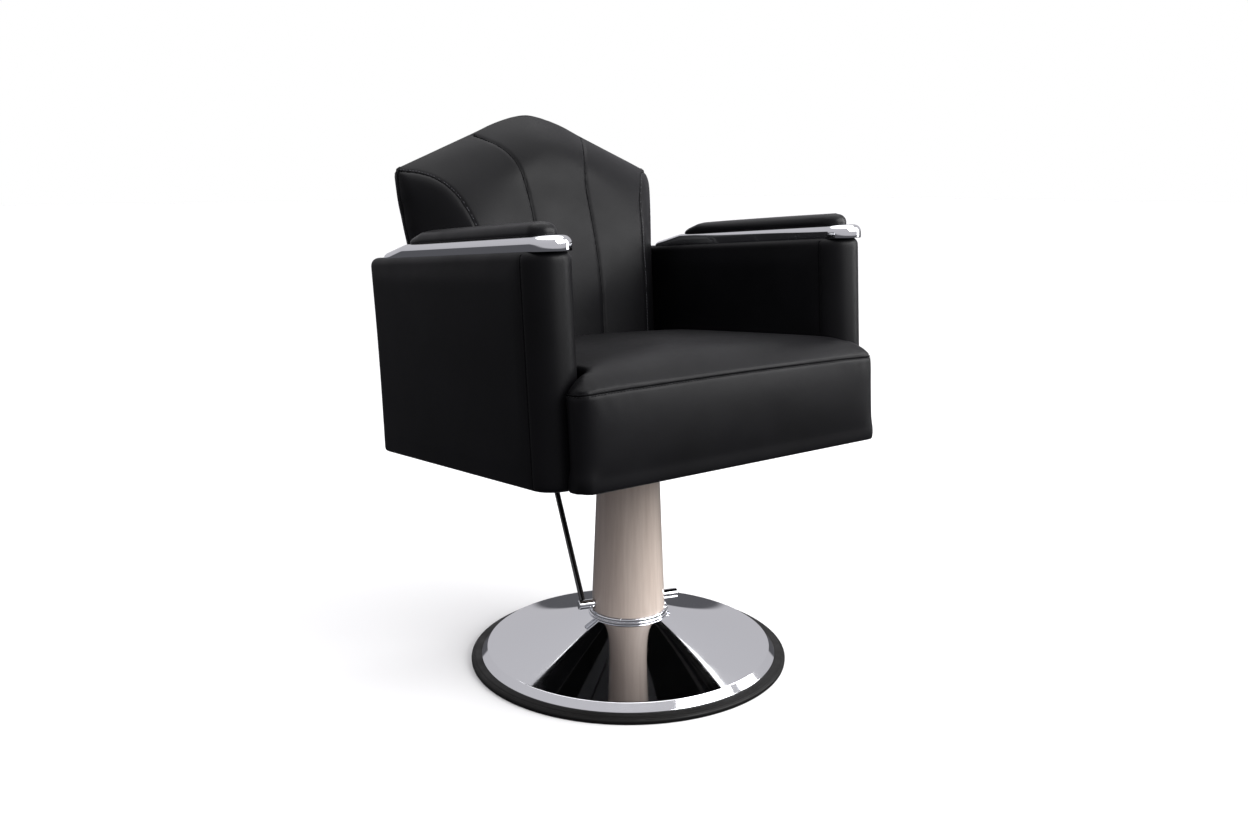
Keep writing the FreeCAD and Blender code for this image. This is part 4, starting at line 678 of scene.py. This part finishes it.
panel_shape = slab(back_plan, rounded_layers(0.0, BACK_DEPTH - PANEL_FACE, 0.001, 0.014, 0.006), 40)
panel_shape.transform(Matrix(((1, 0, 0, 0), (0, 0, 1, PANEL_FACE), (0, -1, 0, 0), (0, 0, 0, 1))))
rows = points_of(panel_shape)
panel_held = np.maximum(np.clip((0.297 - rows[:, 1]) / 0.006, 0, 1),
                        np.clip((0.012 - rows[:, 2]) / 0.008, 0, 1))
puffed(panel_shape, panel_held, 0.005)
panel_shape = finer(panel_shape)
rear_skin = tilted("back_rear_panel_skin", panel_shape, leatherette)
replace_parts(rear_skin, "back_rear_panel")

# %% [markdown]
# ### Arm tops
# A chrome pressing caps each arm and carries a slim pad. Both thin towards the rear.
# They are slabs again; only the pad is blown up, since the pressing is rigid.

# %% Chrome tops and arm pads
TRIM_TOP, TRIM_SLOPE, TRIM_BACK = 0.375, 0.172, 0.250
PAD_TOP = 0.3945


def sloping(high, start, end, low):
    """A height that falls evenly from start to end."""
    return lambda y: high + (low - high) * min(max((y - start) / (end - start), 0), 1)


def capped_layers(base, top, edge):
    """Loops up a short wall and over a rounded edge, flatter where the slope leaves less height."""
    layers = [(0.0006, base), (0.0, base + 0.0006)]
    layers += [(edge * (1 - math.cos(a)),
                lambda y, a=a: top(y) - min(edge, 0.85 * (top(y) - base)) * (1 - math.sin(a)))
               for a in (math.pi / 2 * k / 10 for k in range(11))]
    return layers


trim_top = sloping(TRIM_TOP, TRIM_SLOPE, TRIM_BACK, ARM_TOP + 0.007)
trim_shape = slab(bar_plan(ARM_WIDE / 2 - 0.008, ARM_NOSE - 0.0099, TRIM_BACK, 0.008, 0.006),
                  capped_layers(ARM_TOP - 0.003, trim_top, 0.0125), 10)
pad_top = sloping(PAD_TOP, 0.125, TRIM_SLOPE, TRIM_TOP + 0.0065)
pad_shape = slab(bar_plan(ARM_WIDE / 2 - 0.017, ARM_NOSE + 0.0204, TRIM_SLOPE, 0.022, 0.006),
                 capped_layers(TRIM_TOP, pad_top, 0.0150), 10, 0.0012)
rows = points_of(pad_shape)
puffed(pad_shape, np.clip((TRIM_TOP + 0.004 - rows[:, 2]) / 0.003, 0, 1), 0.0022)
pad_shape = finer(pad_shape)
trim_shape = finer(finer(trim_shape))
for shape in (trim_shape, pad_shape):
    shape.transform(Matrix.Translation((arm_middle, 0, 0)))
for side, trim, pad in (("left", mirrored_copy(trim_shape), mirrored_copy(pad_shape)),
                        ("right", trim_shape, pad_shape)):
    trim.transform(seat_frame)
    chrome_top = put_out(f"arm_trim_{side}_pressing", trim, chrome)
    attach(chrome_top, "seat")
    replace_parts(chrome_top, f"arm_trim_{side}")
    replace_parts(tilted(f"arm_pad_{side}_skin", pad, pad_skin), f"arm_pad_{side}")

# %% [markdown]
# ## Turned pieces
# The base dish, its rubber ring, the collar and the cap are all turned: one profile
# swept round the column's axis. The CAD already has them, but a mirror shows every
# facet, so they are spun again here with 192 steps (96 for the cap) and with small rounded corners.

# %% Turned pieces
def eased(corners, radius):
    """Round every corner of a closed profile."""
    line = []
    for index, corner in enumerate(corners):
        spot = Vector(corner[:2])
        before = Vector(corners[index - 1][:2])
        after = Vector(corners[(index + 1) % len(corners)][:2])
        wanted = corner[2] if len(corner) > 2 else radius
        blend = min(wanted, 0.45 * (before - spot).length, 0.45 * (after - spot).length)
        start = spot + (before - spot).normalized() * blend
        end = spot + (after - spot).normalized() * blend
        line.append(start + (before - start).normalized() * blend * 0.5)
        for k in range(7):
            t = k / 6
            line.append(start * (1 - t) ** 2 + spot * 2 * t * (1 - t) + end * t ** 2)
        line.append(end + (after - end).normalized() * blend * 0.5)
    return line


def turned_piece(title, corners, radius, finish, body, node, steps=192):
    """Spin a closed profile of (radius, height) corners round Z."""
    profile = eased(corners, radius)
    spots, faces = [], []
    for step in range(steps):
        angle = 2 * math.pi * step / steps
        spots += [(p.x * math.cos(angle), p.x * math.sin(angle), p.y) for p in profile]
    count = len(profile)
    for step in range(steps):
        here, there = step * count, (step + 1) % steps * count
        for index in range(count):
            later = (index + 1) % count
            faces.append((here + index, there + index, there + later, here + later))
    shape = bpy.data.meshes.new(title)
    shape.from_pydata(spots, [], faces)
    build = bmesh.new()
    build.from_mesh(shape)
    bmesh.ops.recalc_face_normals(build, faces=build.faces)
    build.to_mesh(shape)
    build.free()
    thing = put_out(title, shape, finish)
    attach(thing, body)
    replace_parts(thing, node)
    print(title, len(faces), "faces")
    return thing


# %% [markdown]
# ### Dish, ring, collar and cap
# The dish is one steel sheet spun over a former, then polished and chromed: a long
# cone with a slight hollow, a steep band round it, and an upright rim in the rubber
# ring. The collar hides the joint between the wooden sleeve and the steel.

# %% Dish, ring, collar and cap
CROWN, CROWN_Z, EDGE, EDGE_Z, RIM, RIM_Z = 0.076, 0.083, 0.2642, 0.026, 0.2755, 0.0133
MOUTH, SHEET, SAG, LIP, UNDER_IN = 0.058, 0.0025, 0.0032, 0.003, 0.0012
cone = []
for k in range(25):
    t = k / 24
    dip = SAG * 4 * t * (1 - t)
    cone.append((CROWN + (EDGE - CROWN) * t, CROWN_Z + (EDGE_Z - CROWN_Z) * t - dip, 0.0009))
under = [(r - UNDER_IN, z - SHEET, 0.0002) for r, z, _ in reversed(cone)]
turned_piece("dish_spinning", [
    (MOUTH, CROWN_Z), *cone, (RIM, RIM_Z), (RIM, LIP), (RIM - SHEET, LIP),
    (RIM - SHEET, RIM_Z - SHEET / 2), *under, (MOUTH, CROWN_Z - SHEET)],
             0.0006, chrome, "base", "dish_cover")
turned_piece("floor_ring_moulding", [
    (0.255, 0.0), (0.2935, 0.0, 0.0012), (0.2945, 0.0018), (0.295, 0.0068, 0.0025),
    (0.2915, 0.0102, 0.002), (0.2885, 0.0108, 0.001), (0.2868, 0.0122, 0.001),
    (0.2775, 0.0126, 0.0012), (RIM, 0.0122, 0.0004), (RIM, LIP), (0.255, LIP)],
             0.0006, rubber, "base", "floor_ring")
COLLAR = [(0.0689, 0.0), (0.0747, 0.0), (0.0747, 0.0038, 0.0015), (0.0730, 0.0046, 0.0005),
          (0.0730, 0.0054, 0.0005), (0.0738, 0.0064, 0.0008), (0.0738, 0.0098, 0.0014),
          (0.0718, 0.0120, 0.0008), (0.0685, 0.0120)]
turned_piece("collar_spinning", [(r, CROWN_Z + z, *bend) for r, z, *bend in COLLAR],
             0.0004, chrome, "base", "column_collar")
turned_piece("column_cap_moulding", [
    (0.021, 0.361), (0.0509, 0.361), (0.0509, 0.355), (0.0539, 0.355), (0.0539, 0.361),
    (0.0569, 0.361), (0.0559, 0.364, 0.001), (0.021, 0.364)],
             0.0003, moulding, "base", "column_cap", 96)

# %% [markdown]
# ## Seams, stitches and staples
# A seam is a thin welt lying in its valley with a row of stitches beside it. All
# rows are made by one Geometry Nodes tree: it walks along a curve, sets a small
# thread capsule at every step, turns each one along the curve and makes them real.

# %% The node tree for rows of small pieces
def row_tree():
    """Pieces set along a curve, with named inputs for their size and spacing."""
    tree = bpy.data.node_groups.new("row_of_pieces", "GeometryNodeTree")
    for name, kind, start in (("Geometry", "NodeSocketGeometry", None),
                              ("Spacing", "NodeSocketFloat", 0.006),
                              ("Length", "NodeSocketFloat", 0.004), ("Width", "NodeSocketFloat", 0.0005),
                              ("Finish", "NodeSocketMaterial", None)):
        socket = tree.interface.new_socket(name, in_out="INPUT", socket_type=kind)
        if start is not None:
            socket.default_value = start
    tree.interface.new_socket("Geometry", in_out="OUTPUT", socket_type="NodeSocketGeometry")
    make = tree.nodes.new
    given, done = make("NodeGroupInput"), make("NodeGroupOutput")
    walk = make("GeometryNodeCurveToPoints")
    walk.mode = "LENGTH"
    capsule = make("GeometryNodeMeshUVSphere")
    capsule.inputs["Segments"].default_value = 6
    capsule.inputs["Rings"].default_value = 5
    capsule.inputs["Radius"].default_value = 0.5
    size = make("ShaderNodeCombineXYZ")
    placed = make("GeometryNodeInstanceOnPoints")
    real = make("GeometryNodeRealizeInstances")
    coat = make("GeometryNodeSetMaterial")
    join = tree.links.new
    join(given.outputs["Geometry"], walk.inputs["Curve"])
    join(given.outputs["Spacing"], walk.inputs["Length"])
    join(given.outputs["Width"], size.inputs["X"])
    join(given.outputs["Width"], size.inputs["Y"])
    join(given.outputs["Length"], size.inputs["Z"])
    join(walk.outputs["Points"], placed.inputs["Points"])
    join(walk.outputs["Rotation"], placed.inputs["Rotation"])
    join(capsule.outputs["Mesh"], placed.inputs["Instance"])
    join(size.outputs["Vector"], placed.inputs["Scale"])
    join(placed.outputs["Instances"], real.inputs["Geometry"])
    join(real.outputs["Geometry"], coat.inputs["Geometry"])
    join(given.outputs["Finish"], coat.inputs["Material"])
    join(coat.outputs["Geometry"], done.inputs["Geometry"])
    return tree


row_of_pieces = row_tree()


def curve_of(title, lines):
    """A curve object with one straight-segment spline for each line."""
    curve = bpy.data.curves.new(title, "CURVE")
    curve.dimensions = "3D"
    for line in lines:
        spline = curve.splines.new("POLY")
        spline.points.add(len(line) - 1)
        for point, spot in zip(spline.points, line):
            point.co = (*spot, 1)
    thing = bpy.data.objects.new(title, curve)
    scene.collection.objects.link(thing)
    return thing


def row_along(title, lines, spacing, length, width, finish, body):
    """Run the tree over some lines and keep the result as a plain mesh."""
    thing = curve_of(title, lines)
    change = thing.modifiers.new("row", "NODES")
    change.node_group = row_of_pieces
    keys = {item.name: item.identifier for item in row_of_pieces.interface.items_tree
            if item.in_out == "INPUT"}
    for name, value in zip(("Spacing", "Length", "Width", "Finish"), (spacing, length, width, finish)):
        change[keys[name]] = value
    row = put_out(title, made_real(thing), finish)
    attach(row, body)
    print(title, len(row.data.polygons), "faces")
    return row


def cord_along(title, lines, radius, finish, body):
    """A thin round welt along some lines."""
    thing = curve_of(title, lines)
    thing.data.bevel_depth = radius
    thing.data.bevel_resolution = 2
    thing.data.use_fill_caps = True
    welt_cord = put_out(title, made_real(thing), finish)
    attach(welt_cord, body)
    return welt_cord


def beside_line(line, shift, lift):
    """The line moved sideways over the skin and raised off it."""
    moved = []
    for index, (spot, outward) in enumerate(line):
        before, after = line[max(index - 1, 0)][0], line[min(index + 1, len(line) - 1)][0]
        along = (after - before).normalized()
        moved.append(spot + along.cross(outward).normalized() * shift + outward * lift)
    return moved


def in_place(line):
    """A level line leaned back with the seat."""
    return [seat_frame @ Vector(spot) for spot in line]


def every(line, count):
    """Each few points of a line, so that a cord stays light."""
    return [*line[:-1:count], line[-1]]


# %% [markdown]
# ### Where the rows go
# The welts lie in the valleys that were pressed into the covers. A row of stitches
# runs beside each one: dark thread on the seat, the arms and the inner back seams, and
# grey thread on the outer back seams. Piping closes the joint round the back's edge.

# %% Seams of the seat, back and arms
WELT_RADIUS, PIPING_RADIUS, PIPING_INSET, PIPING_DEPTH = 0.0012, 0.0028, 0.0034, 0.2868
STITCH_STEP = 0.0058
arm_all = list(arm_lines)
for line in arm_lines:
    arm_all.append([(Vector((-s.x, s.y, s.z)), Vector((-n.x, n.y, n.z))) for s, n in line])
seams = [*back_lines, welt_spots, *arm_all]
# The welts wear painted shade: their skin is darker and duller than the leatherette, standing for the shade
# in each seam valley.
cord_along("seam_welts", [in_place(every(beside_line(line, 0, -0.0002), 3)) for line in seams],
           WELT_RADIUS, welt_painted_shade, "seat")
half_edge = [(x, PIPING_DEPTH, -level) for x, level in back_plan(PIPING_INSET)[:-1]]
edge_line = [(-x, y, z) for x, y, z in reversed(half_edge[1:])] + half_edge
cord_along("back_edge_piping", [in_place(smooth_line(edge_line, 0.004))], PIPING_RADIUS,
           leatherette, "seat")
for title, lines, aside, above, length, width, yarn in (
        ("seat_stitches", [welt_spots], 0.0032, 0.0001, 0.0042, 0.0011, thread),
        ("inner_back_stitches", back_lines[:2], 0.0026, 0.0001, 0.0042, 0.0010, thread),
        ("outer_back_stitches", back_lines[2:], 0.0024, 0.0003, 0.0044, 0.0012, grey_thread),
        ("arm_stitches", arm_all, 0.0024, 0.0001, 0.0042, 0.0010, thread)):
    row_along(title, [in_place(beside_line(line, aside, above)) for line in lines],
              STITCH_STEP, length, width, yarn, "seat")

# %% [markdown]
# ### Staples and the ribbed pedal
# The dust cloth under the seat is stapled along its edges, and the rubber sleeve on
# the lever has ribs so that a shoe doesn't slip. The staples are a row again, so the same
# tree makes them with other sizes; the ribs are rings of thin rubber cord.

# %% Staples and pedal ribs
cloth_low = [to_level @ Vector(v.co) for v in frame["nodes"]["seat_dust_cover"].data.vertices]
edge_x, edge_front = max(v.x for v in cloth_low) - 0.010, min(v.y for v in cloth_low) + 0.010
staple_z = min(v.z for v in cloth_low) - 0.0002
staple_line = [(-edge_x + 2 * edge_x * k / 20, edge_front, staple_z) for k in range(21)]
row_along("dust_cloth_staples", [in_place(staple_line)], 0.042, 0.011, 0.0012, zinc, "seat")

PEDAL_TURN, PEDAL_RISE = math.radians(16.8), math.radians(8)
RIBS, RIB_START, RIB_STEP, RIB_RING, RIB_RADIUS = 11, 0.008, 0.0052, 0.0112, 0.0011
grip = [Vector(v.co) for v in frame["nodes"]["foot_pedal"].data.vertices]
along = Vector((math.sin(PEDAL_TURN) * math.cos(PEDAL_RISE),
                math.cos(PEDAL_TURN) * math.cos(PEDAL_RISE), math.sin(PEDAL_RISE)))
reaches = [v.dot(along) for v in grip]
side_a = along.cross(Vector((0, 0, 1))).normalized()
side_b = along.cross(side_a)
mid_a = (max(v.dot(side_a) for v in grip) + min(v.dot(side_a) for v in grip)) / 2
mid_b = (max(v.dot(side_b) for v in grip) + min(v.dot(side_b) for v in grip)) / 2
rings = []
for k in range(RIBS):
    middle = side_a * mid_a + side_b * mid_b + along * (min(reaches) + RIB_START + RIB_STEP * k)
    rings.append([middle + RIB_RING * (math.cos(a) * side_a + math.sin(a) * side_b)
                  for a in (2 * math.pi * j / 32 for j in range(33))])
cord_along("foot_pedal_ribs", rings, RIB_RADIUS, rubber, "pedal")

# %% [markdown]
# ### The plunger's spring
# Inside the pump a coil spring pushes the plunger back up. It gets shorter as the
# pedal goes down, while its foot stays on the pump's seat. Here a copy of the CAD
# coil is given the plated finish and rides on the base.

# %% Plunger spring
coil = put_out("plunger_spring_coil", frame["nodes"]["plunger_spring"].data.copy(), zinc)
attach(coil, "base")
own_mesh(coil)
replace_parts(coil, "plunger_spring")

# %% [markdown]
# ## The studio
# The chair stands on a large pale floor. The camera sees a plain white sky behind it,
# so no edge shows. The sky that lights the chair is a soft lavender grey above and dark
# below, because chrome only shows what is round it. A broad light stands at the front
# right, and a wide sun above keeps the shadow soft.

# %% Floor, sky and lights
def stand_mesh(title, corners, faces, finish):
    """A mesh object from points and faces."""
    shape = bpy.data.meshes.new(title)
    shape.from_pydata(corners, [], faces)
    shape.materials.append(finish)
    thing = bpy.data.objects.new(title, shape)
    bpy.context.scene.collection.objects.link(thing)
    return thing


floor_paint = new_finish("studio_floor", (0.74, 0.74, 0.74), 0.9)
raised(floor_paint, pattern(floor_paint, "ShaderNodeTexNoise", Scale=40.0), 0.02, 0.001)
FLOOR_REACH = 40.0
floor_corners = [(x * FLOOR_REACH, y * FLOOR_REACH, 0) for x, y in ((-1, -1), (1, -1), (1, 1), (-1, 1))]
floor = stand_mesh("studio_floor", floor_corners, [(0, 1, 2, 3)], floor_paint)
floor.visible_diffuse = False
floor.visible_glossy = False

sky = bpy.data.worlds.new("studio_sky")
sky.use_nodes = True
bpy.context.scene.world = sky
air = sky.node_tree
look = air.nodes.new("ShaderNodeTexCoord")
split = air.nodes.new("ShaderNodeSeparateXYZ")
band = air.nodes.new("ShaderNodeValToRGB")
seen = air.nodes.new("ShaderNodeLightPath")
behind = air.nodes.new("ShaderNodeMix")
behind.data_type = "RGBA"
BELOW, ABOVE = (0.10, 0.10, 0.11, 1), (0.54, 0.53, 0.56, 1)
TOP, WHITE = (0.62, 0.61, 0.64, 1), (1.0, 1.0, 1.0, 1)
band.color_ramp.elements[0].color = BELOW
band.color_ramp.elements[1].color = TOP
band.color_ramp.elements.new(0.03).color = ABOVE
colours = {socket.name: socket for socket in behind.inputs if socket.type == "RGBA"}
colours["B"].default_value = WHITE
air.links.new(band.outputs["Color"], colours["A"])
air.links.new(look.outputs["Generated"], split.inputs["Vector"])
air.links.new(split.outputs["Z"], band.inputs["Fac"])
air.links.new(seen.outputs["Is Camera Ray"], behind.inputs["Factor"])
mixed = next(socket for socket in behind.outputs if socket.type == "RGBA")
air.links.new(mixed, air.nodes["Background"].inputs["Color"])


def soft_sun(title, direction, strength, spread):
    """A sun so wide that its shadows are soft."""
    lamp = bpy.data.lights.new(title, "SUN")
    lamp.energy = strength
    lamp.angle = math.radians(spread)
    rig = bpy.data.objects.new(title, lamp)
    rig.rotation_euler = Vector(direction).to_track_quat("Z", "Y").to_euler()
    bpy.context.scene.collection.objects.link(rig)


def soft_box(title, place, aim, wide, high, power):
    """A rectangular studio light."""
    lamp = bpy.data.lights.new(title, "AREA")
    lamp.shape = "RECTANGLE"
    lamp.size, lamp.size_y = wide, high
    lamp.energy = power
    rig = bpy.data.objects.new(title, lamp)
    rig.location = place
    rig.rotation_euler = (Vector(place) - Vector(aim)).to_track_quat("Z", "Y").to_euler()
    bpy.context.scene.collection.objects.link(rig)


soft_sun("overhead", (0.1, 0.1, 1.0), 2.6, 80)
soft_box("front_key", (1.5, -2.8, 2.3), (0, 0, 0.6), 3.0, 2.2, 180)
soft_box("right_fill", (2.8, -1.2, 1.5), (0, 0, 0.6), 0.8, 2.0, 45)

# %% [markdown]
# ## The camera
# The camera stands at the front left, a little lower than the back's crest. It looks
# down twelve degrees with a slightly wide lens, about two metres from the chair.

# %% Camera and colour
lens = bpy.data.cameras.new("camera")
lens.sensor_width = 36.0
lens.lens = 32.3
camera = bpy.data.objects.new("camera", lens)
camera.location = (-1.195, -1.5895, 0.8797)
camera.rotation_euler = (math.radians(90 - 11.99), 0, math.radians(-36.71))
bpy.context.scene.collection.objects.link(camera)
bpy.context.scene.camera = camera
bpy.context.scene.view_settings.view_transform = "Standard"
